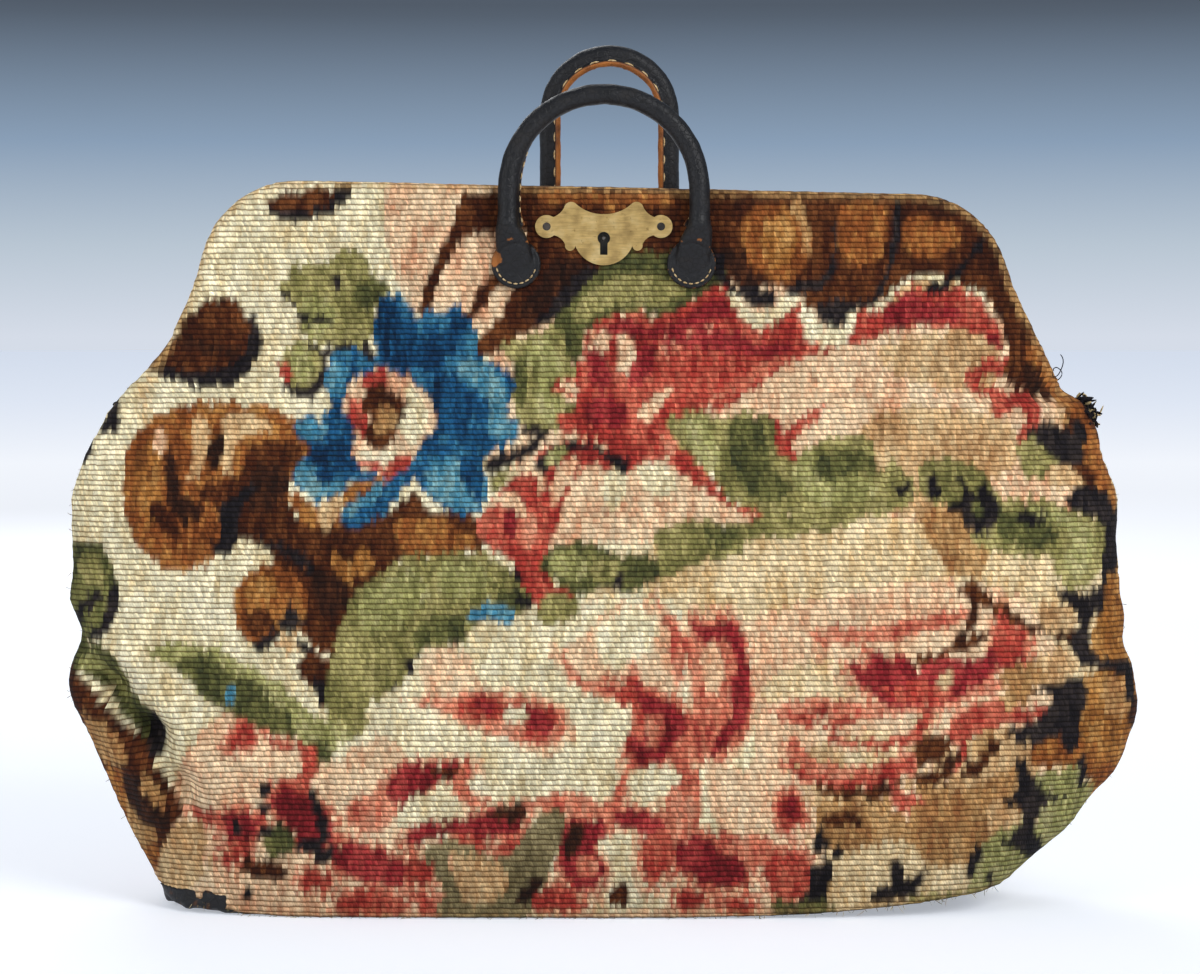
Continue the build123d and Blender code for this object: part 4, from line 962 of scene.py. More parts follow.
        (148, 30), (154, 30), (158, 20), (164, 26), (168, 26), (162, 14), (152, 10), (140, 8), (138, 14),
        (148, 20),
    ]),
    ("moss", [(88, 8), (104, 10), (120, 6), (112, 0), (90, 0)]),
    ("olive", [(160, 12), (180, 14), (192, 12), (180, 6), (160, 4)]),
    ("soot", [(188, 24), (192, 36), (198, 38), (204, 34), (198, 24), (192, 18)]),
    ("lime", [(196, 30), (216, 34), (232, 30), (230, 18), (208, 10), (188, 12), (194, 22)]),
    ("soot", [(202, 24), (204, 16), (200, 16), (199, 22)]),
    ("sand", [(200, 60), (212, 58), (218, 44), (208, 38), (200, 44)]),
    # right edge: black vine, leaves and the amber field
    ("amber", [
        (262, 174), (290, 172), (290, 60), (262, 64), (248, 78), (244, 100), (248, 124), (256, 128),
        (254, 146), (258, 160),
    ]),
    ("tan", [(262, 124), (274, 122), (278, 108), (268, 102), (260, 112)]),
    ("rust", [(250, 90), (264, 86), (270, 72), (258, 68), (250, 78)]),
    ("umber", [(274, 106), (282, 112), (290, 100), (282, 92)]),
    ("rust", [(222, 92), (236, 98), (248, 92), (250, 80), (236, 78), (222, 80)]),
    ("lime", [
        (220, 72), (236, 76), (248, 80), (252, 70), (262, 66), (258, 54), (240, 44), (226, 50), (222, 60),
    ]),
    ("lime", [(196, 40), (222, 50), (250, 50), (246, 34), (222, 26), (204, 30)]),
    ("soot", [
        (234, 168), (240, 172), (250, 168), (262, 172), (262, 160), (254, 152), (254, 140), (258, 134),
        (268, 134), (276, 132), (279, 124), (277, 110), (273, 112), (273, 124), (264, 128), (254, 128),
        (246, 134), (242, 142), (248, 152), (244, 160),
    ]),
    ("soot", [
        (222, 118), (232, 122), (246, 124), (252, 120), (248, 104), (246, 88), (240, 86), (236, 96),
        (224, 90), (210, 94), (210, 99), (222, 102), (230, 108), (232, 116),
    ]),
    ("soot", [
        (212, 80), (218, 82), (222, 74), (234, 64), (242, 62), (230, 58), (224, 46), (232, 34), (234, 28),
        (226, 28), (216, 34), (206, 38), (214, 44), (218, 54), (210, 58), (206, 61), (214, 66), (214, 74),
    ]),
    ("soot", [(246, 84), (251, 82), (253, 72), (249, 66), (247, 74)]),
]
# cloth past the front's edge, on the gusset's near side
EDGE_DRAWING = [
    ("moss", [(-330, 230), (-300, 236), (-290, 214), (-304, 200), (-330, 204)]),
    # the maroon field under the lower-left fold, carried round the edge, partly painted shade
    ("maroon", [(-330, 120), (-302, 118), (-290, 90), (-306, 60), (-330, 64)]),
    ("rust", [(290, 230), (330, 240), (330, 190), (300, 190)]),
    ("soot", [(284, 150), (304, 158), (330, 148), (330, 138), (300, 144)]),
    ("moss", [(292, 110), (330, 118), (330, 70), (304, 66), (290, 84)]),
]
# The rear face: the same flowers in the weaver's own order, seen from behind
REAR_DRAWING = [
    ("blush", [(-300, 300), (-120, 320), (-80, 250), (-140, 190), (-300, 200)]),
    ("sand", [(60, 120), (300, 140), (300, -10), (40, -10)]),
    ("maroon", [
        (-300, 400), (300, 400), (300, 336), (240, 330), (190, 346), (130, 334), (70, 350), (0, 336),
        (-60, 350), (-130, 336), (-200, 350), (-300, 332),
    ]),
    ("rust", [(-180, 372), (-120, 376), (-100, 352), (-150, 346)]),
    ("rust", [(60, 374), (130, 374), (120, 352), (80, 354)]),
    ("soot", [(-60, 376), (-52, 376), (-54, 350), (-70, 340), (-84, 342), (-66, 350)]),
    ("soot", [(150, 374), (158, 374), (160, 350), (146, 338), (138, 342), (150, 352)]),
]
FLOWER_PARTS = {
    # shapes of one flower or leaf about its own middle, to be set down at several places
    "rose": [
        ("crimson", [
            (-70, 4), (-56, 34), (-24, 48), (14, 50), (50, 38), (74, 12), (66, -22), (38, -44), (0, -50),
            (-40, -42), (-64, -22),
        ]),
        ("red", [
            (-62, 2), (-48, 28), (-20, 40), (16, 42), (46, 30), (62, 8), (54, -18), (28, -36), (-6, -42),
            (-40, -32),
        ]),
        ("salmon", [(-46, 4), (-30, 22), (-6, 28), (6, 18), (-12, 8), (-24, -8), (-40, -14)]),
        ("blush", [(-36, 6), (-24, 16), (-10, 20), (-16, 10), (-28, -2)]),
        ("crimson", [(-16, 4), (4, 16), (26, 14), (36, -2), (24, -18), (2, -22), (-14, -12)]),
        ("red", [(-6, 2), (8, 10), (22, 6), (24, -6), (10, -14), (-4, -8)]),
        ("cream", [(54, 34), (66, 22), (76, 22), (72, 38), (60, 44)]),
        ("cream", [(10, 52), (24, 46), (38, 52), (30, 60), (16, 60)]),
        ("salmon", [(20, -28), (40, -24), (50, -8), (58, -18), (40, -38)]),
        ("crimson", [(-50, -10), (-36, -24), (-14, -30), (0, -40), (-24, -38), (-46, -26)]),
    ],
    "peony": [
        ("blush", [
            (-86, 0), (-70, 40), (-30, 60), (20, 62), (66, 44), (88, 6), (76, -36), (40, -58), (-10, -62),
            (-60, -44),
        ]),
        ("cream", [
            (-74, 4), (-60, 34), (-24, 50), (18, 52), (58, 36), (74, 6), (60, -28), (30, -46), (-10, -50),
            (-50, -34),
        ]),
        ("salmon", [(-30, 34), (-8, 44), (18, 40), (34, 22), (22, 26), (0, 32), (-20, 24)]),
        ("red", [(-26, 10), (-8, 24), (16, 22), (30, 8), (26, -10), (8, -20), (-14, -16), (-26, -4)]),
        ("crimson", [(-14, 6), (2, 16), (18, 8), (16, -6), (0, -12), (-12, -6)]),
        ("salmon", [(-62, -4), (-48, 12), (-40, -2), (-48, -22), (-58, -18)]),
        ("crimson", [(50, 34), (66, 22), (70, 0), (62, -22), (58, 0), (54, 20)]),
        ("salmon", [(-20, -38), (10, -42), (36, -34), (20, -28), (-6, -30)]),
        ("crimson", [(-44, -34), (-26, -44), (-10, -46), (-20, -38), (-34, -30)]),
        ("grey", [(10, -50), (34, -48), (40, -38), (24, -40)]),
    ],
    "cornflower": [
        ("blue", [
            (-56, 0), (-52, 26), (-30, 34), (-18, 52), (0, 44), (18, 54), (30, 34), (52, 30), (50, 6),
            (58, -10), (40, -26), (34, -46), (10, -42), (-8, -54), (-24, -38), (-46, -36),
        ]),
        ("navy", [
            (-40, 6), (-26, 28), (-4, 36), (22, 34), (38, 12), (30, -14), (8, -30), (-20, -26),
            (-38, -12),
        ]),
        ("teal", [(34, 26), (48, 26), (46, 8), (50, -8), (38, -12), (32, 6)]),
        ("teal", [(-44, -30), (-26, -34), (-14, -46), (-24, -24), (-38, -18)]),
        ("blush", [(-24, 2), (-14, 20), (8, 22), (22, 8), (20, -12), (2, -22), (-18, -14)]),
        ("maroon", [(-12, 2), (-2, 12), (12, 6), (10, -8), (-4, -12)]),
        ("red", [(-20, 8), (-10, 18), (-4, 12), (-14, 2)]),
        ("red", [(4, -18), (16, -12), (18, -2), (8, -8)]),
    ],
    "leaf": [
        ("olive", [
            (-70, -8), (-48, 14), (-20, 24), (6, 16), (30, 26), (52, 14), (74, 0), (50, -12), (24, -10),
            (0, -22), (-30, -16),
        ]),
        ("moss", [(-60, -8), (-36, 2), (-8, 0), (20, 6), (56, 0), (30, -8), (0, -16), (-30, -12)]),
        ("lime", [(-44, 10), (-22, 18), (-4, 12), (-20, 8)]),
        ("lime", [(10, 14), (28, 20), (44, 12), (26, 10)]),
        ("soot", [(-74, -10), (-60, 0), (-56, -6), (-68, -14)]),
        ("soot", [(-4, -20), (4, -12), (10, -18), (2, -26)]),
    ],
    "scroll": [
        ("rust", [
            (-46, -6), (-40, 24), (-16, 42), (16, 42), (40, 24), (46, -4), (32, -30), (4, -42),
            (-28, -34),
        ]),
        ("amber", [(-38, 0), (-30, 22), (-12, 34), (-18, 14), (-22, -8)]),
        ("maroon", [(4, 30), (26, 24), (36, 2), (28, -22), (8, -32), (14, -12), (18, 8)]),
        ("umber", [(-18, 20), (-8, 26), (-6, 4), (-12, -16), (-20, -10)]),
        ("sand", [(-4, 26), (8, 22), (6, 6), (-2, 10)]),
        ("soot", [(-10, -28), (-2, -20), (4, -30), (0, -44), (-8, -40)]),
    ],
}
# flower, place along the face and up it, turn in degrees and size
REAR_FLOWERS = [
    ("leaf", -214, 300, 62, 0.9), ("leaf", 206, 292, 118, 0.95), ("leaf", 10, 300, 8, 1.1),
    ("scroll", -118, 316, 10, 0.75), ("scroll", 118, 312, 200, 0.8), ("leaf", -30, 120, 150, 1.1),
    ("cornflower", 108, 226, 20, 1.1), ("rose", -92, 224, 170, 1.15), ("leaf", 214, 170, 70, 1.0),
    ("peony", -176, 110, 20, 1.05), ("leaf", -262, 190, 80, 0.9), ("scroll", 24, 196, 40, 0.9),
    ("rose", 190, 80, -20, 1.0), ("peony", 52, 70, -12, 1.1), ("cornflower", -70, 50, 60, 0.8),
    ("leaf", -230, 40, 30, 0.8), ("scroll", 268, 220, 0, 0.7), ("leaf", 120, 20, -10, 0.8),
    ("leaf", -140, 12, 6, 0.8), ("cornflower", -258, 262, 0, 0.55), ("leaf", 300, 100, 90, 0.8),
    ("scroll", -306, 110, 0, 0.8),
]


def set_down(flower, x, z, turn, size):
    """The shapes of one flower moved to its place on a face."""
    c, s = math.cos(math.radians(turn)) * size, math.sin(math.radians(turn)) * size
    return [(yarn, [(x + px * c - pz * s, z + px * s + pz * c) for px, pz in shape])
            for yarn, shape in FLOWER_PARTS[flower]]


def rounded_outline(shape):
    """A drawn outline eased through its points, as a weaver's drawing rounds its steps."""
    points = np.array(shape, float)
    before, after, next_after = np.roll(points, 1, 0), np.roll(points, -1, 0), np.roll(points, -2, 0)
    pieces = []
    for t in (0.0, 0.25, 0.5, 0.75):
        pieces.append(0.5 * (
            2 * points + (after - before) * t
            + (2 * before - 5 * points + 4 * after - next_after) * t * t
            + (3 * points - before - 3 * after + next_after) * t ** 3
        ))
    return np.stack(pieces, 1).reshape(-1, 2)


def soft_noise(x, z, wide, tall, seed):
    """Smooth random tone from -1 to 1 over a face, with patches of a given width and height."""
    draws = np.random.RandomState(seed)
    grid = draws.uniform(-1, 1, (int(820 / wide) + 4, int(520 / tall) + 4))
    gx = np.clip((x + 400) / wide, 0, grid.shape[0] - 2)
    gz = np.clip((z + 60) / tall, 0, grid.shape[1] - 2)
    ix, iz = gx.astype(int), gz.astype(int)
    fx, fz = gx - ix, gz - iz
    fx, fz = fx * fx * (3 - 2 * fx), fz * fz * (3 - 2 * fz)
    low = grid[ix, iz] * (1 - fx) + grid[ix + 1, iz] * fx
    high = grid[ix, iz + 1] * (1 - fx) + grid[ix + 1, iz + 1] * fx
    return low * (1 - fz) + high * fz


# How far the red of a lower flower has run into pale pile: reach in mm, yarn, share of loops
HALOS = {
    "crimson": [(12.0, "blush", 0.7), (6.5, "salmon", 0.72), (2.5, "red", 0.6)],
    "red": [(11.0, "blush", 0.7), (5.5, "salmon", 0.7)],
    "salmon": [(8.0, "blush", 0.75)],
}
halo_top = 178.0
widest_halo = 12.0


def linear(code):
    """An sRGB hex colour as the linear values that a shader takes."""
    parts = [int(code[i:i + 2], 16) / 255 for i in (0, 2, 4)]
    return [p / 12.92 if p <= 0.04045 else ((p + 0.055) / 1.055) ** 2.4 for p in parts]


def woven_colours(x, z, drawing, ground, seed):
    """The yarn colour at each place: shapes painted in order, ragged along the dyed warp."""
    draws = np.random.RandomState(seed)
    names = list(YARNS)
    pale = [names.index(name) for name in ("cream", "ecru", "blush", "sand")]
    yarn = np.full(x.size, names.index(ground))
    warp_ends = 1800
    column = np.round(x / loop_across * 2).astype(int) + warp_ends // 2
    for name, shape in drawing:
        outline = rounded_outline(shape)
        shake = draws.normal(0.0, 1.1, warp_ends)[column] + draws.normal(0.0, 0.5, x.size)
        low, high = outline.min(axis=0) - widest_halo, outline.max(axis=0) + widest_halo
        near = np.flatnonzero((x > low[0]) & (x < high[0]) & (z > low[1]) & (z < high[1]))
        if not near.size:
            continue
        if name in HALOS and outline[:, 1].max() < halo_top:
            middle = outline.mean(axis=0)
            reach = np.abs(outline - middle).max()
            for grow, halo, chance in HALOS[name]:
                wider = middle + (outline - middle) * (1 + grow / reach)
                around = inside(np.stack([x[near], z[near] + shake[near]], 1), wider)
                around &= np.isin(yarn[near], pale) & (draws.uniform(0, 1, near.size) < chance)
                yarn[near[around]] = names.index(halo)
        spots = np.stack([x[near] + draws.normal(0.0, 0.3, near.size), z[near] + shake[near]], 1)
        yarn[near[inside(spots, outline)]] = names.index(name)
    tints = np.array([[linear(code) for code in codes] for codes in YARNS.values()])
    patch = 0.55 * soft_noise(x, z, 2.2, 12.0, seed + 1) + 0.5 * soft_noise(x, z, 8.0, 13.0, seed + 2)
    patch += 0.34 * draws.normal(0, 1, x.size) + 0.35 * soft_noise(x, z, 26.0, 20.0, seed + 3)
    share = np.clip(np.abs(patch) * 1.15, 0, 1)[:, None] * 0.9
    other = np.where(patch[:, None] > 0, tints[yarn, 1], tints[yarn, 2])
    return tints[yarn, 0] * (1 - share) + other * share


def carpet_face(name, side, folds, drawing, ground, seed):
    """One face of carpet as a mesh whose every quad is two loops, with their yarn colours, wear and painted
    shade.
    """
    gusset_from, gusset_share = 262.0, 0.8
    keyhole_half, keyhole_middle, keyhole_reach = 5.0, 349.0, 8.5
    belly_depth, view_slope = 57.0, 0.052
    over_hinge = 255
    bare_jute = np.array(linear("C79F68"))
    place, kept, normal, _, columns, rows = carpet_grid(folds, seed)
    draws = np.random.RandomState(seed + 5)
    # no two loops stand alike
    place += draws.normal(0, 1, place.shape) * np.array([0.16, 0.0, 0.05])
    place += normal * draws.normal(0, 0.10, place.shape[:2])[:, :, None]
    place[:, :, 1] = np.maximum(place[:, :, 1], loop_least)
    quads = kept[:-1, :-1] & kept[1:, :-1] & kept[:-1, 1:] & kept[1:, 1:]
    centre = (place[:-1, :-1] + place[1:, :-1] + place[:-1, 1:] + place[1:, 1:]) / 4
    if side > 0:
        # cut away behind the lock plate's keyhole
        over_keyhole = np.abs(centre[:, :, 0]) < keyhole_half
        quads &= ~(over_keyhole & (np.abs(centre[:, :, 2] - keyhole_middle) < keyhole_reach))
    cloth_x = np.broadcast_to((columns[:-1] + 0.5) * loop_across, centre.shape[:2])
    past_gusset = (np.abs(cloth_x) > gusset_from) & (centre[:, :, 2] < gusset_from)
    round_gusset = np.sign(cloth_x) * (gusset_from + (np.abs(cloth_x) - gusset_from) * gusset_share)
    x_drawn = np.where(past_gusset, round_gusset, centre[:, :, 0])
    # the drawing was laid out as seen from 3 degrees above, where cloth further back looks higher
    z_drawn = centre[:, :, 2] + (belly_depth - centre[:, :, 1]) * view_slope
    # one loop to each half of a quad
    halves = np.stack([x_drawn - loop_across / 4, x_drawn + loop_across / 4], 2) * side
    z_halves = np.stack([z_drawn, z_drawn], 2)
    woven = woven_colours(halves.ravel(), z_halves.ravel(), drawing, ground, seed)
    colour = woven.reshape(*halves.shape, 3)
    tone = 1 + 0.09 * draws.normal(0, 1, halves.shape)
    tone += 0.10 * soft_noise(halves, z_halves, 1.5, 16.0, seed + 6)
    tone += 0.08 * soft_noise(halves, z_halves, 9.0, 9.0, seed + 7)
    tone += 0.07 * soft_noise(halves, z_halves, 40.0, 36.0, seed + 8)
    colour = colour * np.clip(tone, 0.5, 1.4)[:, :, :, None]
    # wear: the pile is rubbed to tan jute along the frame's edge, the hem and the lower edge
    outline, _ = arch_outline(rim_grow)
    edge_gap = np.full(centre.shape[:2], 99.0)
    up = centre[:, :, 2] > over_hinge
    apart_x = centre[up][:, None, 0] - outline[None, ::3, 0]
    apart_z = centre[up][:, None, 2] - outline[None, ::3, 1]
    edge_gap[up] = np.hypot(apart_x, apart_z).min(axis=1)
    worn = np.clip(1.3 - edge_gap / 4.0, 0, 1) * (0.5 + 0.45 * draws.uniform(-1, 1, edge_gap.shape))
    edge = np.interp(centre[:, :, 0], *np.array(HEM_LINE).T)
    worn += 0.6 * np.clip(1 - (centre[:, :, 2] - edge) / 5.0, 0, 1) * draws.uniform(0, 1, edge_gap.shape)
    worn = np.clip(worn, 0, 0.85)[:, :, None, None]
    colour = colour * (1 - worn) + bare_jute * worn
    # darker towards the bottom, and painted shade where the cloth folds in to the seam between the faces
    # below the hinge
    low_and_seam_darkening = 0.22 * np.clip(1 - (centre[:, :, 2] - 6) / 60.0, 0, 1)
    low_and_seam_darkening = low_and_seam_darkening + 0.5 * ease(14.0, 1.0, centre[:, :, 1]) * (centre[:, :, 2] < over_hinge)
    colour *= (1 - np.clip(low_and_seam_darkening, 0, 1))[:, :, None, None]
    # dye and dust carry over a little from row to row
    low_corner = colour * 0.8 + np.roll(colour, 1, 0) * 0.2
    high_corner = colour * 0.8 + np.roll(colour, -1, 0) * 0.2
    corners = np.stack([
        low_corner[:, :, 0], low_corner[:, :, 1], high_corner[:, :, 1], high_corner[:, :, 0],
    ], 2)
    quad_row, quad_column = np.nonzero(quads)
    corners = corners[quad_row, quad_column]
    steps = np.array([(0, 0), (1, 0), (1, 1), (0, 1)])
    wide = len(columns)
    corner = quad_row * wide + quad_column
    order = [corner, corner + 1, corner + wide + 1, corner + wide]
    if side < 0:
        order, corners, steps = order[::-1], corners[:, ::-1], steps[::-1]
    faces = np.stack(order, 1)
    flat = place.reshape(-1, 3) * np.array([1.0, -side, 1.0])
    used, faces = np.unique(faces, return_inverse=True)
    faces = faces.reshape(-1, 4)
    mesh = bpy.data.meshes.new(name)
    mesh.from_pydata((flat[used] * MM).tolist(), [], faces.tolist())
    yarn = mesh.color_attributes.new("Yarn", "FLOAT_COLOR", "CORNER")
    rgba = np.ones((len(faces), 4, 4), np.float32)
    rgba[:, :, :3] = np.clip(corners, 0, 1)
    yarn.data.foreach_set("color", rgba.ravel())
    uv = mesh.uv_layers.new(name="Weave")
    loops = np.stack([columns[quad_column], rows[quad_row]], 1)[:, None, :] + steps[None]
    uv.data.foreach_set("uv", (loops / steps_to_uv).astype(np.float32).ravel())
    piece = bpy.data.objects.new(name, mesh)
    bpy.context.collection.objects.link(piece)
    mesh.polygons.foreach_set("use_smooth", np.ones(len(faces), bool))
    thick = piece.modifiers.new("backing", "SOLIDIFY")
    thick.thickness = carpet_thick * MM
    thick.offset = -1.0
    thick.use_even_offset = False
    bpy.context.view_layer.objects.active = piece
    bpy.ops.object.modifier_apply(modifier=thick.name)
    return piece


def add_node(tree, kind, inputs=(), stops=(), **settings):
    """One shader node with its settings. An input is a value or another node's output, and
    stops are the places of a colour ramp, each with a linear colour or a grey value."""
    node = tree.nodes.new("ShaderNode" + kind)
    for name, value in settings.items():
        setattr(node, name, value)
    for key, value in dict(inputs).items():
        if isinstance(value, bpy.types.NodeSocket):
            tree.links.new(value, node.inputs[key])
        elif isinstance(value, (list, tuple)) and len(value) == 3 and node.inputs[key].type == "RGBA":
            node.inputs[key].default_value = (*value, 1.0)
        else:
            node.inputs[key].default_value = value
    for _ in stops[2:]:
        node.color_ramp.elements.new(0.5)
    for number, (place, colour) in enumerate(stops):
        element = node.color_ramp.elements[number]
        element.position = place
        element.color = (*colour, 1.0) if isinstance(colour, list) else (colour, colour, colour, 1.0)
    return node


def new_material(name):
    """An empty node material with its Principled shader."""
    material = bpy.data.materials.new(name)
    material.use_nodes = True
    tree = material.node_tree
    return material, tree, tree.nodes["Principled BSDF"]


# Brussels looped wool pile on a jute back: ridges of small upright loops, two to a quad, with
# dark gaps between the rows painted in as shade and the loops' crests painted lighter as a
# highlight, matt. A quad is 2.88 x 2.83 mm, one step of the UV map. The rows stray in patches
# 4 mm wide, and fibres 0.3 mm wide and 1.1 mm long show in each loop.
loop_lean = 0.34
multiply = {"data_type": "RGBA", "blend_type": "MULTIPLY"}
carpet_wool, tree, shader = new_material("Brussels carpet, looped worsted wool pile")
yarn_colour = add_node(tree, "Attribute", attribute_name="Yarn").outputs["Color"]
weave_uv = add_node(tree, "UVMap", uv_map="Weave").outputs["UV"]
wobble = add_node(tree, "TexNoise", {"Vector": weave_uv, "Scale": 70.0, "Detail": 2.0})
drift = add_node(tree, "VectorMath", {0: wobble.outputs["Color"], 1: (0.5, 0.5, 0.5)},
                 operation="SUBTRACT").outputs["Vector"]
drift = add_node(tree, "VectorMath", {0: drift, 1: (0.007, 0.0035, 0.0)}, operation="MULTIPLY")
loop_uv = add_node(tree, "VectorMath", {0: weave_uv, 1: drift.outputs["Vector"]}).outputs["Vector"]
split = add_node(tree, "SeparateXYZ", {"Vector": loop_uv})
# each loop leans a little along its row
row_part = add_node(tree, "Math", {0: split.outputs["Y"], 1: steps_to_uv}, operation="MULTIPLY")
row_part = add_node(tree, "Math", {0: row_part.outputs[0]}, operation="FRACT")
leaned = add_node(tree, "Math", {
    0: row_part.outputs[0], 1: loop_lean / steps_to_uv, 2: split.outputs["X"]}, operation="MULTIPLY_ADD")
loop_uv = add_node(tree, "CombineXYZ", {"X": leaned.outputs[0], "Y": split.outputs["Y"]})
loop_uv = loop_uv.outputs["Vector"]
split = add_node(tree, "SeparateXYZ", {"Vector": loop_uv})
heights_of_loop = []
for axis, loops_to_a_step, power, least in (("X", 2.0, 0.7, 0.74), ("Y", 1.0, 0.7, 0.0)):
    half_waves = math.pi * steps_to_uv * loops_to_a_step
    angle = add_node(tree, "Math", {0: split.outputs[axis], 1: half_waves}, operation="MULTIPLY")
    wave = add_node(tree, "Math", {0: angle.outputs[0]}, operation="SINE")
    wave = add_node(tree, "Math", {0: wave.outputs[0]}, operation="ABSOLUTE")
    wave = add_node(tree, "Math", {0: wave.outputs[0], 1: power}, operation="POWER")
    wave = add_node(tree, "Math", {0: wave.outputs[0], 1: 1.0 - least, 2: least},
                    operation="MULTIPLY_ADD")
    heights_of_loop.append(wave.outputs[0])
loop_height = add_node(tree, "Math", {0: heights_of_loop[0], 1: heights_of_loop[1]},
                       operation="MULTIPLY").outputs[0]
loop_cell = add_node(tree, "VectorMath", {
    0: loop_uv, 1: (2 * steps_to_uv, steps_to_uv, 1.0)}, operation="MULTIPLY")
loop_cell = add_node(tree, "VectorMath", {0: loop_cell.outputs["Vector"]}, operation="FLOOR")
# each loop a random tone; its lighter loops are partly a painted sheen on the wool
loop_tone_and_sheen = add_node(tree, "TexWhiteNoise", {"Vector": loop_cell.outputs["Vector"]},
                     noise_dimensions="2D").outputs["Value"]
loop_tone_and_sheen = add_node(tree, "ValToRGB", {"Fac": loop_tone_and_sheen}, [
    (0.0, 0.72), (0.6, 1.0), (1.0, 1.30),
]).outputs["Color"]
fibre_space = add_node(tree, "Mapping", {"Vector": weave_uv, "Scale": (900.0, 260.0, 1.0)})
fibre = add_node(tree, "TexNoise", {"Vector": fibre_space.outputs["Vector"], "Scale": 1.0, "Detail": 3.0})
pile_height = add_node(tree, "Math", {0: fibre.outputs["Fac"], 1: 0.4, 2: loop_height},
                       operation="MULTIPLY_ADD").outputs[0]
# painted shade in the gaps between the loop rows and a painted highlight on the loops' crests
gap_shade_and_crest_highlight = add_node(tree, "ValToRGB", {"Fac": loop_height}, [
    (0.0, linear("8B765D")), (0.24, linear("B9A790")), (0.58, linear("FFFDFA")), (1.0, [1.22, 1.20, 1.16]),
]).outputs["Color"]
fibre_tone = add_node(tree, "ValToRGB", {"Fac": fibre.outputs["Fac"]}, [
    (0.25, 0.72), (0.75, 1.25),
]).outputs["Color"]
toned = yarn_colour
for tone in (gap_shade_and_crest_highlight, loop_tone_and_sheen, fibre_tone):
    toned = add_node(tree, "Mix", {0: 1.0, 6: toned, 7: tone}, **multiply).outputs[2]
tree.links.new(toned, shader.inputs["Base Color"])
bump = add_node(tree, "Bump", {"Height": pile_height, "Strength": 0.75, "Distance": 0.0010})
tree.links.new(bump.outputs["Normal"], shader.inputs["Normal"])
shader.inputs["Roughness"].default_value = 0.95
shader.inputs["Specular IOR Level"].default_value = 0.15
shader.inputs["Sheen Weight"].default_value = 0.03
shader.inputs["Sheen Roughness"].default_value = 0.5

rear_shapes = list(REAR_DRAWING)
for flower in REAR_FLOWERS:
    rear_shapes += set_down(*flower)
front_carpet = carpet_face("carpet_front", 1, FRONT_FOLDS, FRONT_DRAWING + EDGE_DRAWING, "cream", 11)
rear_carpet = carpet_face("carpet_rear", -1, REAR_FOLDS, rear_shapes, "cream", 23)
for face, half in ((front_carpet, "front"), (rear_carpet, "rear")):
    face.data.materials.append(carpet_wool)
    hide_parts(f"{half}_panel", f"{half}_panel_top")
    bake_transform(face)


# Lining: one unbleached linen bag, sewn in behind each half of the frame and hung a little
# inside the carpet, folded in where the carpet is, and laid over the board at the bottom.
lining_thick = 0.8
lining_hang = 3.9
tray_room = 3.2
lining_floor = 5.4
under_strips = 6
seam_gap = 0.3
# the cloth stops short of the frame's rim and of its eyes, and round the lock's back plate
rim_stop = -2.6
eye_from, eye_half = 250.0, 229.0
plate_half, plate_middle, plate_reach = 38.5, 354.5, 17.5


def base_rise(x):
    """How far the leather base has lifted off the floor at a place along it."""
    left_rise = 12.0 * ((x + 190.0) / 110.0) ** 2
    right_rise = 35.0 * (np.maximum(x - 60.0, 0) / 240.0) ** 2
    return np.where(x < -190, left_rise, right_rise)


def lining_face(name, side, folds, seed):
    """One side of the lining bag, from the frame down and in under the middle of the bag."""
    place, kept, normal, past_rim, _, _ = carpet_grid(folds, seed)
    tray = 1 - ease(10.0, 26.0, place[:, :, 2] - base_rise(place[:, :, 0]))
    cloth = place + normal * (lining_hang + tray_room * tray)[:, :, None]
    cloth[:, :, 1] = np.maximum(cloth[:, :, 1], seam_gap)
    at_eye = (cloth[:, :, 2] > eye_from) & (np.abs(cloth[:, :, 0]) > eye_half)
    kept = kept & (past_rim < rim_stop) & ~at_eye
    cloth, kept = cloth[3::2, ::2], kept[3::2, ::2]
    cloth[:, :, 2] = np.maximum(cloth[:, :, 2], lining_floor + base_rise(cloth[:, :, 0]))
    under = []
    for step in range(under_strips):
        strip = cloth[0].copy()
        strip[:, 1] = seam_gap + (strip[:, 1] - seam_gap) * step / under_strips
        strip[:, 2] = lining_floor + base_rise(strip[:, 0])
        under.append(strip)
    cloth = np.concatenate([np.array(under), cloth])
    kept = np.concatenate([np.repeat(kept[:1], under_strips, axis=0), kept])
    middle = (cloth[:-1, :-1] + cloth[1:, 1:]) / 2
    quads = kept[:-1, :-1] & kept[1:, :-1] & kept[:-1, 1:] & kept[1:, 1:]
    if side > 0:
        over_plate = np.abs(middle[:, :, 0]) < plate_half
        quads &= ~(over_plate & (np.abs(middle[:, :, 2] - plate_middle) < plate_reach))
    row, column = np.nonzero(quads)
    wide = cloth.shape[1]
    corner = row * wide + column
    order = [corner, corner + 1, corner + wide + 1, corner + wide]
    steps = np.array([(0, 0), (1, 0), (1, 1), (0, 1)])
    if side < 0:
        order, steps = order[::-1], steps[::-1]
    faces = np.stack(order, 1)
    flat = cloth.reshape(-1, 3) * np.array([1.0, -side, 1.0])
    used, faces = np.unique(faces, return_inverse=True)
    faces = faces.reshape(-1, 4)
    mesh = bpy.data.meshes.new(name)
    mesh.from_pydata((flat[used] * MM).tolist(), [], faces.tolist())
    uv = mesh.uv_layers.new(name="Weave")
    places = (np.stack([column, row], 1)[:, None, :] + steps[None]) * 2 * loop_up / 1000
    uv.data.foreach_set("uv", places.astype(np.float32).ravel())
    piece = bpy.data.objects.new(name, mesh)
    bpy.context.collection.objects.link(piece)
    mesh.polygons.foreach_set("use_smooth", np.ones(len(faces), bool))
    thick = piece.modifiers.new("cloth", "SOLIDIFY")
    thick.thickness = lining_thick * MM
    thick.offset = -1.0
    bpy.context.view_layer.objects.active = piece
    bpy.ops.object.modifier_apply(modifier=thick.name)
    return piece


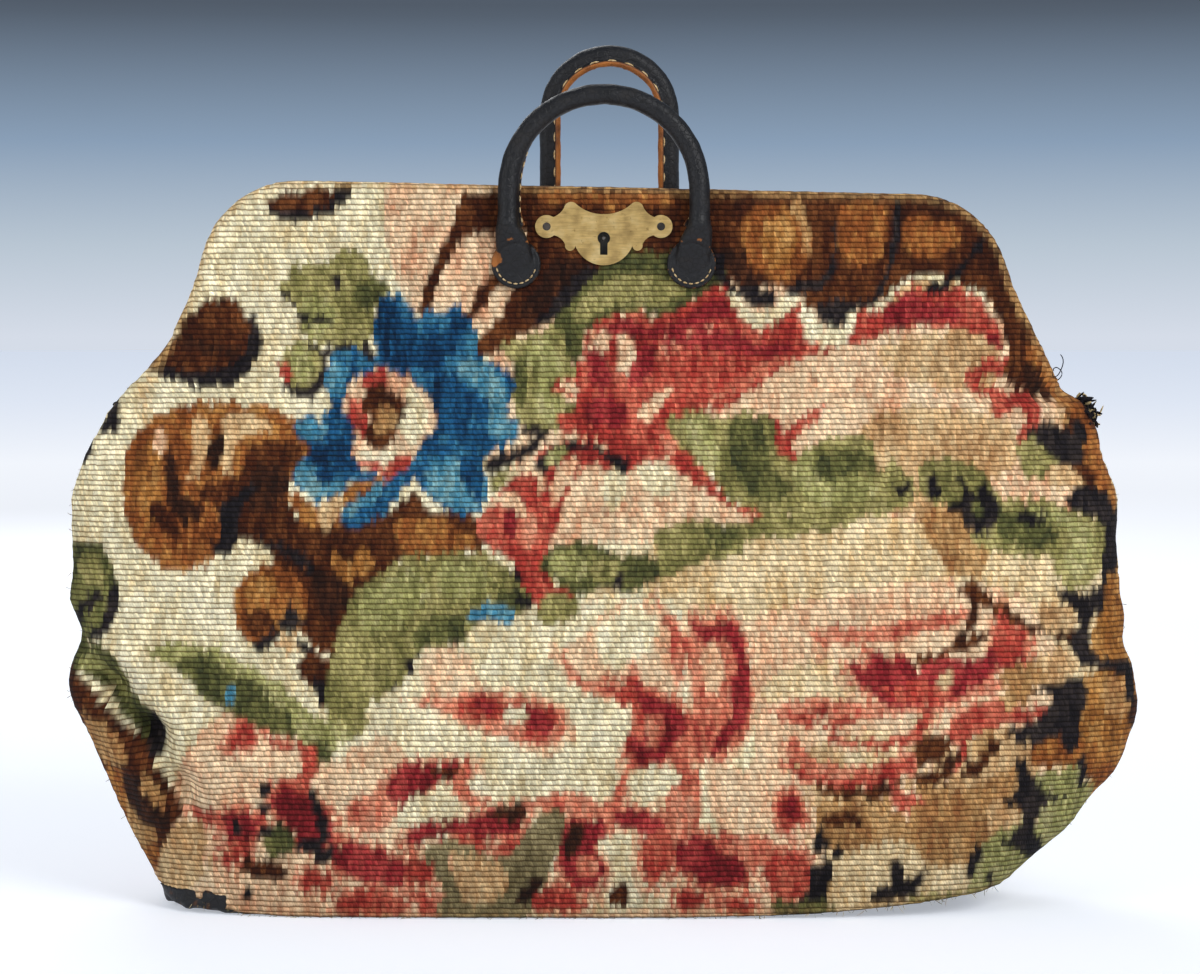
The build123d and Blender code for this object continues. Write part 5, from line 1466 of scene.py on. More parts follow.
# Unbleached plain-woven linen, gone brown and stained with age in patches of 60 mm: slubby
# threads, no shine. The threads, 0.6 mm apart, are drawn 2.4 mm apart so that they show.
linen, tree, shader = new_material("Unbleached linen, plain woven")
linen_uv = add_node(tree, "UVMap", uv_map="Weave").outputs["UV"]
threads = []
for turn in (0.0, math.pi / 2):
    turned = add_node(tree, "Mapping", {"Vector": linen_uv, "Rotation": (0, 0, turn)})
    wave = add_node(tree, "TexWave", {
        "Vector": turned.outputs["Vector"], "Scale": 131.0, "Distortion": 1.2, "Detail": 2.0,
        "Detail Scale": 3.0,
    })
    threads.append(wave.outputs["Fac"])
thread_height = add_node(tree, "Math", {0: threads[0], 1: threads[1]}, operation="MAXIMUM").outputs[0]
linen_place = add_node(tree, "TexCoord").outputs["Object"]
stain = add_node(tree, "TexNoise", {"Vector": linen_place, "Scale": 16.0, "Detail": 5.0}).outputs["Fac"]
stain_tone = add_node(tree, "ValToRGB", {"Fac": stain}, [
    (0.3, linear("6F5A3E")), (0.5, linear("8F7A58")), (0.7, linear("A08D6B")),
]).outputs["Color"]
thread_tone = add_node(tree, "ValToRGB", {"Fac": thread_height}, [
    (0.0, 0.62), (0.6, 1.0), (1.0, 1.1),
]).outputs["Color"]
linen_tone = add_node(tree, "Mix", {0: 1.0, 6: stain_tone, 7: thread_tone}, **multiply).outputs[2]
tree.links.new(linen_tone, shader.inputs["Base Color"])
bump = add_node(tree, "Bump", {"Height": thread_height, "Strength": 0.5, "Distance": 0.0003})
tree.links.new(bump.outputs["Normal"], shader.inputs["Normal"])
shader.inputs["Roughness"].default_value = 0.9
shader.inputs["Specular IOR Level"].default_value = 0.2

front_lining = lining_face("lining_front", 1, FRONT_FOLDS, 11)
rear_lining = lining_face("lining_rear", -1, REAR_FOLDS, 23)
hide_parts("bag_lining", "front_lining_top")
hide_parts("rear_lining_top")
for cloth_piece, half in ((front_lining, "front_half"), (rear_lining, "rear_half")):
    cloth_piece.data.materials.append(linen)
    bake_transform(cloth_piece)


# Rolled handles: black leather sewn round a cord, the seam a keel on the inner side of the
# arch with its raw edge brown, and both ends flared and sewn to the carpet as round tabs.
handle_lean = math.radians(4.0)
handle_stand_off = 22.86
handle_root = 359.0
tab_height = 339.0
tab_face = 17.8
# side, shift along the bag, leg and arch radius, tab reach, arch centre above the root, how far
# wear has stretched the arch upwards, and how far the keel has rolled round towards the frame
HANDLES = {
    "front_handle": (1, 0.0, 50.0, 46.0, 15.0, 3.5, 74.0),
    "rear_handle": (-1, 3.0, 32.0, 32.0, 52.0, 8.0, 52.0),
}


def copy_of(node, name):
    """A copy of a plain node with its faces joined and no material."""
    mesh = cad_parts[node].data.copy()
    mesh.materials.clear()
    shell = bmesh.new()
    shell.from_mesh(mesh)
    bmesh.ops.remove_doubles(shell, verts=shell.verts, dist=0.000002)
    shell.to_mesh(mesh)
    shell.free()
    piece = bpy.data.objects.new(name, mesh)
    bpy.context.collection.objects.link(piece)
    return piece


def skin_of(node, name, voxel, rounds):
    """A copy of a plain node as one closed skin with softened edges."""
    piece = copy_of(node, name)
    remesh = piece.modifiers.new("skin", "REMESH")
    remesh.mode = "VOXEL"
    remesh.voxel_size = voxel * MM
    smooth = piece.modifiers.new("soft", "SMOOTH")
    smooth.factor = 0.5
    smooth.iterations = rounds
    bpy.context.view_layer.objects.active = piece
    for modifier in (remesh.name, smooth.name):
        bpy.ops.object.modifier_apply(modifier=modifier)
    piece.data.polygons.foreach_set("use_smooth", np.ones(len(piece.data.polygons), bool))
    return piece


def lumps(points, size, seed):
    """Smooth random heights from -1 to 1 at places in space, lumps of a size in millimetres."""
    shift = Vector((seed * 7.3, seed * 3.1, seed * 5.7))
    return np.array([mathutils.noise.noise(Vector(p) / size + shift) for p in points])


def mesh_points(piece):
    """A piece's corners in millimetres, with their outward normals."""
    count = len(piece.data.vertices)
    points, normals = np.zeros(count * 3), np.zeros(count * 3)
    piece.data.vertices.foreach_get("co", points)
    piece.data.vertices.foreach_get("normal", normals)
    return points.reshape(-1, 3) / MM, normals.reshape(-1, 3)


def set_points(piece, points):
    """The piece's corners moved to places in millimetres."""
    piece.data.vertices.foreach_set("co", (points * MM).astype(np.float32).ravel())
    piece.data.update()


def yarn_tube(points, radius, sides=6):
    """A closed thread along points, drawn in at both ends, as corners and faces."""
    points = np.array(points, float)
    along = np.gradient(points, axis=0)
    along /= np.linalg.norm(along, axis=1)[:, None]
    helper = np.array([0.31, 0.17, 0.94]) if abs(along[0, 2]) < 0.8 else np.array([0.94, 0.31, 0.17])
    one = np.cross(along, helper)
    one /= np.linalg.norm(one, axis=1)[:, None]
    two = np.cross(along, one)
    thick = np.full(len(points), radius)
    thick[[0, -1]] *= 0.45
    angle = np.arange(sides) * 2 * math.pi / sides
    ring = one[:, None, :] * np.cos(angle)[None, :, None] + two[:, None, :] * np.sin(angle)[None, :, None]
    corners = (points[:, None, :] + ring * thick[:, None, None]).reshape(-1, 3)
    faces = []
    for i in range(len(points) - 1):
        for k in range(sides):
            after = (k + 1) % sides
            faces.append((i * sides + k, i * sides + after, (i + 1) * sides + after, (i + 1) * sides + k))
    faces.append(tuple(range(sides))[::-1])
    faces.append(tuple(range((len(points) - 1) * sides, len(points) * sides)))
    return corners, faces


def thread_piece(name, runs, colours=None):
    """Many short threads as one piece: runs of (points, radius), each with its own colour if given."""
    corners, faces, tints = [], [], []
    start = 0
    for number, (points, radius) in enumerate(runs):
        some, more = yarn_tube(points, radius, 5)
        corners.append(some)
        faces += [tuple(start + c for c in face) for face in more]
        tints += [colours[number] if colours else (1, 1, 1)] * len(some)
        start += len(some)
    mesh = bpy.data.meshes.new(name)
    mesh.from_pydata((np.concatenate(corners) * MM).tolist(), [], faces)
    tint = mesh.color_attributes.new("Yarn", "FLOAT_COLOR", "POINT")
    rgba = np.ones((len(tints), 4), np.float32)
    rgba[:, :3] = np.array(tints)
    tint.data.foreach_set("color", rgba.ravel())
    shell = bmesh.new()
    shell.from_mesh(mesh)
    bmesh.ops.recalc_face_normals(shell, faces=shell.faces)
    shell.to_mesh(mesh)
    shell.free()
    mesh.polygons.foreach_set("use_smooth", np.ones(len(mesh.polygons), bool))
    piece = bpy.data.objects.new(name, mesh)
    bpy.context.collection.objects.link(piece)
    return piece


# Bridle leather dyed black and waxed: pores 0.8 mm apart, cracks about 3 mm apart where it
# bends, scuffs of 10 mm rubbed to brown-grey, a low gloss. Cut edges and split grain show the
# orange-brown inside.
black_leather, tree, shader = new_material("Bridle leather, dyed black and waxed")
leather_place = add_node(tree, "TexCoord").outputs["Object"]
pores = add_node(tree, "TexVoronoi", {"Vector": leather_place, "Scale": 1300.0}).outputs["Distance"]
crackle = add_node(tree, "TexVoronoi", {"Vector": leather_place, "Scale": 330.0},
                   feature="DISTANCE_TO_EDGE").outputs["Distance"]
crack_line = add_node(tree, "ValToRGB", {"Fac": crackle}, [(0.0, 0.0), (0.09, 1.0)]).outputs["Color"]
patches = add_node(tree, "TexNoise", {
    "Vector": leather_place, "Scale": 95.0, "Detail": 6.0, "Roughness": 0.62}).outputs["Fac"]
scuffs = add_node(tree, "ValToRGB", {"Fac": patches}, [(0.50, 0.0), (0.66, 1.0)]).outputs["Color"]
leather_tone = add_node(tree, "ValToRGB", {"Fac": patches}, [
    (0.30, linear("0C0C0E")), (0.54, linear("17171A")), (0.78, linear("2B2826")),
]).outputs["Color"]
cracked = add_node(tree, "Mix", {0: crack_line, 6: (*linear("0B0A0A"), 1), 7: leather_tone},
                   data_type="RGBA").outputs[2]
raw_edge = add_node(tree, "Attribute", attribute_name="Raw").outputs["Fac"]
raw_tone = add_node(tree, "ValToRGB", {"Fac": patches}, [
    (0.35, linear("6E3F1E")), (0.6, linear("A8662C")),
]).outputs["Color"]
leather_colour = add_node(tree, "Mix", {0: raw_edge, 6: cracked, 7: raw_tone}, data_type="RGBA").outputs[2]
tree.links.new(leather_colour, shader.inputs["Base Color"])
leather_rough = add_node(tree, "MapRange", {"Value": scuffs, "To Min": 0.46, "To Max": 0.7})
tree.links.new(leather_rough.outputs["Result"], shader.inputs["Roughness"])
leather_height = add_node(tree, "Math", {0: pores, 1: 0.35, 2: crack_line}, operation="MULTIPLY_ADD")
bump = add_node(tree, "Bump", {"Height": leather_height.outputs[0], "Strength": 0.45, "Distance": 0.00025})
tree.links.new(bump.outputs["Normal"], shader.inputs["Normal"])
shader.inputs["Specular IOR Level"].default_value = 0.3

# Waxed linen thread, tan, twisted from three plies, with a low gloss: each stitch a short
# raised dash, lighter and darker along it every millimetre.
sewing_thread, tree, shader = new_material("Waxed linen thread")
thread_place = add_node(tree, "TexCoord").outputs["Object"]
ply = add_node(tree, "TexNoise", {"Vector": thread_place, "Scale": 900.0, "Detail": 3.0}).outputs["Fac"]
tree.links.new(add_node(tree, "ValToRGB", {"Fac": ply}, [
    (0.3, linear("A8854F")), (0.7, linear("E0C79A")),
]).outputs["Color"], shader.inputs["Base Color"])
bump = add_node(tree, "Bump", {"Height": ply, "Strength": 0.5, "Distance": 0.0002})
tree.links.new(bump.outputs["Normal"], shader.inputs["Normal"])
shader.inputs["Roughness"].default_value = 0.7

# Cord inside the handles: soft three-strand cotton rope, matt and dusty. A strand crosses
# over it every 9 mm.
cotton_cord, tree, shader = new_material("Cotton cord, three strand")
cord_place = add_node(tree, "TexCoord").outputs["Object"]
lay = add_node(tree, "TexWave", {"Vector": cord_place, "Scale": 70.0, "Distortion": 1.5},
               bands_direction="DIAGONAL").outputs["Fac"]
tree.links.new(add_node(tree, "ValToRGB", {"Fac": lay}, [
    (0.0, linear("6B5A3F")), (0.6, linear("A08A66")),
]).outputs["Color"], shader.inputs["Base Color"])
bump = add_node(tree, "Bump", {"Height": lay, "Strength": 0.8, "Distance": 0.0006})
tree.links.new(bump.outputs["Normal"], shader.inputs["Normal"])
shader.inputs["Roughness"].default_value = 0.9

lean_sin, lean_cos = math.sin(handle_lean), math.cos(handle_lean)
# wear has made each roll this much thinner, measured from its middle
roll_thin = 0.85
# how far inside the arch's middle the keel's raw edge and its stitches lie, and half its thickness
keel_edge_from, keel_edge_to = 7.9, 8.8
keel_stitch = 7.5
keel_flank = 1.75
keel_thread = 0.42
# the round of stitches on a tab: radius, number, degrees from one to the next, and thread radius
tab_seam = 10.4
tab_stitches, tab_step = 9, 17.5
tab_thread = 0.45


def handle_plane(points, side, shift):
    """Points in the handle's own plane: u along the bag, w up the lean, d off the bag's face."""
    off = points[:, 1] * -side - handle_stand_off
    up = points[:, 2] - handle_root
    return points[:, 0] - shift, up * lean_cos - off * lean_sin, up * lean_sin + off * lean_cos


def handle_space(u, w, d, side, shift, lift, arch_rise):
    """The way back from the handle's plane, with its arch stretched upwards by wear."""
    w = w + lift * ease(0.0, arch_rise + 22.0, w)
    return np.stack([u + shift, -side * (handle_stand_off - w * lean_sin + d * lean_cos),
                     handle_root + w * lean_cos + d * lean_sin], -1)


def roll_keel(u, w, d, arch, arch_rise, rolled):
    """Wear draws the roll in thinner and turns its keel round towards the frame."""
    over = np.maximum(w - arch_rise, 0.0)
    ring = np.hypot(u, over)
    aim_u, aim_w = u / ring, over / ring
    inward = arch - ring
    share = ease(-4.0, 8.0, w)
    turned = -np.radians(rolled) * share * (1 - 0.5 * ease(-30.0, -46.0, u) * (arch_rise < 30))
    radius = np.hypot(inward, d)
    thinner = 1 - roll_thin * share * ease(3.8, 6.2, radius) / np.maximum(radius, 1.0)
    near = inward * thinner
    far = d * thinner
    inward, d = near * np.cos(turned) - far * np.sin(turned), near * np.sin(turned) + far * np.cos(turned)
    ring = arch - inward
    return np.where(share > 0, aim_u * ring, u), np.where(over > 0, arch_rise + aim_w * ring, w), d


for node, (side, shift, arch, tab_reach, arch_rise, lift, rolled) in HANDLES.items():
    handle = skin_of(node, f"{node}_leather", voxel=0.75, rounds=5)
    points, normals = mesh_points(handle)
    u, w, d = handle_plane(points, side, shift)
    ring = np.where(w > arch_rise, np.hypot(u, w - arch_rise), np.abs(u))
    inward = np.where(w > -2.0, arch - ring, 0.0)
    raw = ease(keel_edge_from, keel_edge_to, inward)
    # wrinkles run across the roll, tightest on the inside of the bend
    turn = np.arctan2(w - arch_rise, u) * arch
    wrinkle = np.sin(turn / 2.6 + 2.0 * lumps(points, 9.0, 3)) * lumps(points, 14.0, 5)
    swell = 0.22 * lumps(points, 7.0, 1) + 0.12 * lumps(points, 2.5, 2) + 0.16 * wrinkle * (w > 0)
    tab_gap = np.hypot(np.abs(u) - tab_reach, points[:, 2] - tab_height)
    on_tab = (points[:, 1] * -side > tab_face - 0.9) & (tab_gap < 13.5)
    seam = np.exp(-(((tab_gap - tab_seam) / 0.7) ** 2)) * on_tab
    points += normals * (swell * (0.35 + 0.65 * (~on_tab)) - 0.45 * seam)[:, None]
    bent = roll_keel(*handle_plane(points, side, shift), arch, arch_rise, rolled)
    set_points(handle, handle_space(*bent, side, shift, lift, arch_rise))
    if side > 0:
        # the grain has split at the outer edge of the left tab
        crack = np.hypot(u + 57.0, (points[:, 2] - 341.5) * 0.8) < 3.4 + 2.0 * lumps(points, 2.0, 9)
        raw = np.maximum(raw, crack * (points[:, 1] < -tab_face + 1.6) * 0.9)
    raw = np.maximum(raw, 0.8 * (tab_gap > 12.6) * on_tab * (lumps(points, 3.0, 6) > 0.15))
    raw_attribute = handle.data.attributes.new("Raw", "FLOAT", "POINT")
    raw_attribute.data.foreach_set("value", raw.astype(np.float32))
    handle.data.materials.append(black_leather)
    half = node.split("_")[0] + "_half"
    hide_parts(node)
    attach(handle, half)
    # the cord inside follows the stretched arch
    cord = copy_of(f"{node}_core", f"{node}_cord")
    cord.data.materials.append(cotton_cord)
    strand_points, _ = mesh_points(cord)
    set_points(cord, handle_space(*handle_plane(strand_points, side, shift), side, shift, lift, arch_rise))
    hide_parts(f"{node}_core")
    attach(cord, half)

    # stitches: along both flanks of the keel, and round the lower edge of each tab
    runs = []
    keel_middle = arch - keel_stitch
    stitch_pitch = 5.2 if side > 0 else 8.0
    length = math.pi * keel_middle + 2 * arch_rise
    for flank in (-1, 1):
        for number in range(int(length / stitch_pitch)):
            start = number * stitch_pitch + 1.2
            dash = []
            for part, rise in ((0.0, -0.25), (0.3, 0.3), (0.65, 0.3), (1.0, -0.25)):
                run = start + part * 0.62 * stitch_pitch
                if run < arch_rise:
                    here = (-keel_middle, run)
                elif run < length - arch_rise:
                    a = math.pi - (run - arch_rise) / keel_middle
                    here = (keel_middle * math.cos(a), arch_rise + keel_middle * math.sin(a))
                else:
                    here = (keel_middle, length - run)
                dash.append((*here, flank * (keel_flank + rise)))
            bent = roll_keel(*np.array(dash).T, arch, arch_rise, rolled)
            runs.append((handle_space(*bent, side, shift, lift, arch_rise), keel_thread))
    for end in (-1, 1):
        for number in range(tab_stitches):
            dash = []
            for part, rise in ((0.0, -0.5), (0.07, 0.05), (0.15, 0.05), (0.22, -0.5)):
                a = math.radians(192 + number * tab_step) + part
                dash.append((
                    shift + end * tab_reach + tab_seam * math.cos(a),
                    -side * (tab_face + rise),
                    tab_height + tab_seam * math.sin(a),
                ))
            runs.append((dash, tab_thread))
    stitches = thread_piece(f"{node}_stitches", runs)
    stitches.data.materials.append(sewing_thread)
    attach(stitches, half)


# Base: a tray of the same black leather, its edge turned up inside the carpet; at the lower
# left the edge has worked out and lies crumpled in a roll below the carpet's hem.
base = skin_of("base_leather", "base_tray_leather", voxel=1.7, rounds=3)
points, normals = mesh_points(base)
creases = 0.8 * lumps(points, 16.0, 11) + 0.5 * np.abs(lumps(points, 7.0, 12))
rim = ease(2.0, 6.0, points[:, 2] - base_rise(points[:, 0]))
corner_roll = ease(-176.0, -205.0, points[:, 0]) * (points[:, 1] < 20.0)
outside = np.clip(-normals[:, 1] * 1.2, 0, 1) + np.clip(-normals[:, 0], 0, 1)
points += normals * (creases * 0.5 * rim)[:, None]
roll = corner_roll * np.clip(outside, 0, 1)
points[:, 1] -= roll * (5.2 + 2.6 * lumps(points, 9.0, 13)) * np.clip(-normals[:, 1], 0, 1)
points[:, 0] -= roll * (7.0 + 4.0 * lumps(points, 9.0, 14)) * np.clip(-normals[:, 0], 0, 1)
points[:, 2] += roll * (1.0 + 2.0 * lumps(points, 8.0, 15))
points[:, 2] = np.maximum(points[:, 2], 0.0)
set_points(base, points)
raw = 0.2 * (lumps(points, 5.0, 16) > 0.38) * corner_roll
base.data.attributes.new("Raw", "FLOAT", "POINT").data.foreach_set("value", raw.astype(np.float32))
base.data.materials.append(black_leather)
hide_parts("base_leather")
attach(base, "bag_body")


def dress(nodes, material):
    """The material on nodes that keep their own shape."""
    for node in nodes:
        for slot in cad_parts[node].material_slots:
            slot.material = material


# Board under the lining: one sheet of millboard, pressed from waste fibre, that lies in the
# base and keeps it flat. It is grey-brown, flecked with fibres of 1.4 mm and foxed in patches
# of 30 mm, with no gloss.
millboard, tree, shader = new_material("Millboard, pressed and uncoated")
board_place = add_node(tree, "TexCoord").outputs["Object"]
fleck = add_node(tree, "TexNoise", {"Vector": board_place, "Scale": 700.0, "Detail": 4.0}).outputs["Fac"]
foxing = add_node(tree, "TexNoise", {"Vector": board_place, "Scale": 30.0, "Detail": 4.0}).outputs["Fac"]
board_tone = add_node(tree, "ValToRGB", {"Fac": fleck}, [
    (0.3, linear("6A5338")), (0.7, linear("947853")),
]).outputs["Color"]
fox_tone = add_node(tree, "ValToRGB", {"Fac": foxing}, [(0.35, 1.05), (0.7, 0.72)]).outputs["Color"]
board_colour = add_node(tree, "Mix", {0: 1.0, 6: board_tone, 7: fox_tone}, **multiply).outputs[2]
tree.links.new(board_colour, shader.inputs["Base Color"])
bump = add_node(tree, "Bump", {"Height": fleck, "Strength": 0.4, "Distance": 0.0003})
tree.links.new(bump.outputs["Normal"], shader.inputs["Normal"])
shader.inputs["Roughness"].default_value = 0.88
dress(["base_board"], millboard)


def metal(name, tones, rust, rough, grain, metallic=1.0):
    """A worked metal: three tones in patches of 8 mm, rust or tarnish in spots of 2.4 mm, and
    rolling or file marks at a grain of so many to the metre each way."""
    material, tree, shader = new_material(name)
    place = add_node(tree, "TexCoord").outputs["Object"]
    patches = add_node(tree, "TexNoise", {"Vector": place, "Scale": 120.0, "Detail": 6.0}).outputs["Fac"]
    spots = add_node(tree, "TexNoise", {
        "Vector": place, "Scale": 420.0, "Detail": 5.0, "Roughness": 0.7}).outputs["Fac"]
    stretch = add_node(tree, "Mapping", {"Vector": place, "Scale": grain}).outputs["Vector"]
    marks = add_node(tree, "TexNoise", {"Vector": stretch, "Scale": 1.0, "Detail": 3.0}).outputs["Fac"]
    tone = add_node(tree, "ValToRGB", {"Fac": patches}, [
        (0.3, linear(tones[0])), (0.5, linear(tones[1])), (0.72, linear(tones[2])),
    ]).outputs["Color"]
    spotted = add_node(tree, "ValToRGB", {"Fac": spots}, [(0.60, 0.0), (0.72, 0.8)]).outputs["Color"]
    rusted = add_node(tree, "Mix", {0: spotted, 6: tone, 7: (*linear(rust), 1)}, data_type="RGBA").outputs[2]
    mark_tone = add_node(tree, "ValToRGB", {"Fac": marks}, [(0.3, 0.82), (0.7, 1.12)]).outputs["Color"]
    colour = add_node(tree, "Mix", {0: 1.0, 6: rusted, 7: mark_tone}, **multiply).outputs[2]
    tree.links.new(colour, shader.inputs["Base Color"])
    roughness = add_node(tree, "MapRange", {
        "Value": patches, "From Min": 0.3, "From Max": 0.7, "To Min": rough[0], "To Max": rough[1]})
    tree.links.new(roughness.outputs["Result"], shader.inputs["Roughness"])
    bump = add_node(tree, "Bump", {"Height": marks, "Strength": 0.25, "Distance": 0.0001})
    tree.links.new(bump.outputs["Normal"], shader.inputs["Normal"])
    shader.inputs["Metallic"].default_value = metallic
    return material


# Frame halves: each is one flat iron strip, bent hot to the arch and blacked, rusting where the
# black has worn. Their feet lap on the hinge rivets, and the carpet is turned over them.
strip_iron = metal(
    "Strip iron, blacked", ("1E1B19", "2B2724", "3A332D"), "5A3620", (0.5, 0.75), (200, 900, 200), 0.7)
dress(["front_frame", "rear_frame"], strip_iron)

# Rivets: soft iron, headed with a hammer, dark with a worn shine on the crown. Two are the
# hinge, two hold the lock to the front half, and two hold the staple to the rear half.
rivet_iron = metal(
    "Rivet iron, hammered", ("2C2826", "433E3A", "5B544D"), "5B3A26", (0.38, 0.6), (500, 500, 500), 0.9)
for held in ("hinge_pin", "lock_rivet", "staple_rivet"):
    dress([f"{held}_left", f"{held}_right"], rivet_iron)

# Lock works: back plate, case, bolt, leaf spring, drill pin and staple, cut from sheet and bar
# steel and filed, grey with thin brown rust. All but the staple sit on the front half.
lock_steel = metal("Filed steel", ("4A4845", "65625E", "7C7873"), "6A4630", (0.35, 0.55), (900, 120, 120))
lock_works = ("backplate", "case", "bolt", "spring", "drill_pin", "staple")
dress([f"lock_{part}" for part in lock_works], lock_steel)

# Lock plate: rolled brass, stamped out with a scalloped edge and lacquered once, now dull yellow
# with brown tarnish. It lies on the carpet and is held by the two lock rivets.
aged_brass = metal(
    "Rolled brass, aged", ("B0905A", "CBAA6C", "D6BC85"), "8A6C3E", (0.36, 0.5), (120, 300, 900))
dress(["lock_plate"], aged_brass)


# Loose wool: ends and loops of the carpet's own yarn where the cloth is worn or cut. They are
# the frayed knots of the gussets, threads pulled beside the right one, and fuzz along the lower
# edge and the sides. Each is matt, and lighter and darker along it every 0.7 mm.
loose_wool, tree, shader = new_material("Loose worsted yarn")
loose_tint = add_node(tree, "Attribute", attribute_name="Yarn").outputs["Color"]
loose_place = add_node(tree, "TexCoord").outputs["Object"]
strands = add_node(tree, "TexNoise", {"Vector": loose_place, "Scale": 1500.0, "Detail": 3.0}).outputs["Fac"]
strand_tone = add_node(tree, "ValToRGB", {"Fac": strands}, [(0.3, 0.6), (0.7, 1.25)]).outputs["Color"]
loose_colour = add_node(tree, "Mix", {0: 1.0, 6: loose_tint, 7: strand_tone}, **multiply).outputs[2]
tree.links.new(loose_colour, shader.inputs["Base Color"])
bump = add_node(tree, "Bump", {"Height": strands, "Strength": 0.6, "Distance": 0.0003})
tree.links.new(bump.outputs["Normal"], shader.inputs["Normal"])
shader.inputs["Roughness"].default_value = 0.95
shader.inputs["Specular IOR Level"].default_value = 0.15

draws = np.random.RandomState(77)
runs, colours = [], []
# knots of the gathered gusset ends: tufts of curled yarn round the hinge rivets' outer heads
for end, spots, reach in ((1, 190, 9.5), (-1, 60, 5.0)):
    for number in range(spots):
        centre = np.array([end * 251.0, -5.0, 259.0]) + draws.normal(0, 1, 3) * np.array([2.4, 4.0, 3.6])
        aim_way = np.array([end * 1.0, draws.normal(0, 0.6), draws.normal(0, 0.8)])
        aim_way /= np.linalg.norm(aim_way)
        size = draws.uniform(0.5, 1.0) * reach
        bend = np.cross(aim_way, draws.normal(0, 1, 3))
        bend /= np.linalg.norm(bend)
        curl = [centre + aim_way * size * t + bend * size * 0.38 * math.sin(math.pi * t) * (1.6 - t)
                for t in np.linspace(0, 1, 6)]
        runs.append((curl, draws.uniform(0.45, 1.0)))
        dye = "1A171A" if draws.uniform() < 0.72 else ["B9A477", "8A7A58"][number % 2]
        colours.append(linear(dye))
# two thin black threads pulled into loops above the knot, out of the upper front carpet
pulled = []
for lean in (0.0, 1.0):
    loop = []
    for t in np.linspace(0, 1, 26):
        a = 2 * math.pi * (1.25 * t + 0.3 * lean)
        loop.append((234.0 + 6.5 * t + (2.4 + lean) * math.cos(a), -13.0 - 1.2 * math.sin(3 * a + lean),
                     277.0 + 11.0 * t * (1 - lean * 0.4) + (3.6 - lean) * math.sin(a)))
    pulled.append((loop, 0.28))
pulled_thread = thread_piece("pulled_thread", pulled, [linear("14121A")] * len(pulled))
pulled_thread.data.materials.append(loose_wool)
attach(pulled_thread, "front_half")
# fuzz: short fibres standing off the cloth's lower edge and its outer sides
points, normals = mesh_points(front_carpet)
lower = np.interp(points[:, 0], *np.array(HEM_LINE).T)
ragged = np.flatnonzero((points[:, 2] < lower + 1.0) & (points[:, 1] < -30))
at_side = (np.abs(normals[:, 1]) < 0.35) & (np.abs(points[:, 0]) > 225)
sideways = np.flatnonzero(at_side & (points[:, 2] > 20) & (points[:, 2] < 240))
for chosen, count, length in ((ragged, 300, 4.0), (sideways, 110, 2.8)):
    for number in draws.choice(chosen, count):
        way = normals[number] + draws.normal(0, 0.5, 3) + np.array([0, -0.2, -0.15])
        way /= np.linalg.norm(way)
        size = draws.uniform(0.35, 1.0) * length
        bend = draws.normal(0, 0.35, 3)
        hair = [points[number] + way * size * t + bend * size * t * t for t in np.linspace(0, 1, 4)]
        hair = [(x, y, max(z, 0.4)) for x, y, z in hair]
        runs.append((hair, draws.uniform(0.08, 0.17)))
        colours.append(linear(["A88A5E", "C9B78C", "7C6A44", "8E8A5C"][draws.randint(4)]))
loose_ends = thread_piece("loose_yarn", runs, colours)
loose_ends.data.materials.append(loose_wool)
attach(loose_ends, "bag_body")


# The photograph's view: from 3 degrees above level, on the middle of the lock side, with a
# long lens and the bag filling the frame.
camera_data = bpy.data.cameras.new("photo_camera")
camera = bpy.data.objects.new("photo_camera", camera_data)
bpy.context.collection.objects.link(camera)
camera_data.lens = 86.3
camera_data.sensor_width = 36.0
aim = Vector((-2.0, -57.0, 224.0)) * MM
pitch = math.radians(3.0)
reach = 1.474
camera.location = aim + Vector((0, -math.cos(pitch), math.sin(pitch))) * reach
camera.rotation_euler = (math.pi / 2 - pitch, 0, 0)
camera_data.clip_start = 0.05
camera_data.clip_end = 60.0
bpy.context.scene.camera = camera

# Floor: a wide pale studio sheet, matt. Seen directly or in metal, it glows palest a little way
# off the bag and fades to blue-grey far away, and it keeps the bag's shadow.
bpy.ops.mesh.primitive_circle_add(vertices=128, radius=80.0, fill_type="TRIFAN", location=(0, 0, 0))
floor = bpy.context.object
floor.name = "floor"
paper, tree, shader = new_material("Pale studio paper")
shader.inputs["Base Color"].default_value = (*linear("D9DCE2"), 1)
shader.inputs["Roughness"].default_value = 1.0
shader.inputs["Specular IOR Level"].default_value = 0.0
seen = add_node(tree, "LightPath")
seen_or_mirrored = add_node(tree, "Math", {
    0: seen.outputs["Is Camera Ray"], 1: seen.outputs["Is Glossy Ray"]}, operation="MAXIMUM")
seen_or_mirrored = add_node(tree, "Math", {
    0: seen_or_mirrored.outputs[0], 1: seen.outputs["Is Transmission Ray"]}, operation="MAXIMUM")
floor_place = add_node(tree, "TexCoord").outputs["Object"]
away = add_node(tree, "VectorMath", {0: floor_place}, operation="LENGTH").outputs["Value"]
nearness = add_node(tree, "Math", {0: 0.8, 1: away}, operation="DIVIDE")
glow = add_node(tree, "ValToRGB", {"Fac": nearness.outputs[0]}, [
    (0.0, linear("9FA9B9")), (0.067, linear("B3BAC6")), (0.145, linear("CACCD0")), (0.3, linear("B8BABF")),
    (0.5, linear("A4A7AD")), (1.0, linear("A2A6AD")),
]).outputs["Color"]
tree.links.new(glow, shader.inputs["Emission Color"])
tree.links.new(seen_or_mirrored.outputs[0], shader.inputs["Emission Strength"])
floor.data.materials.append(paper)


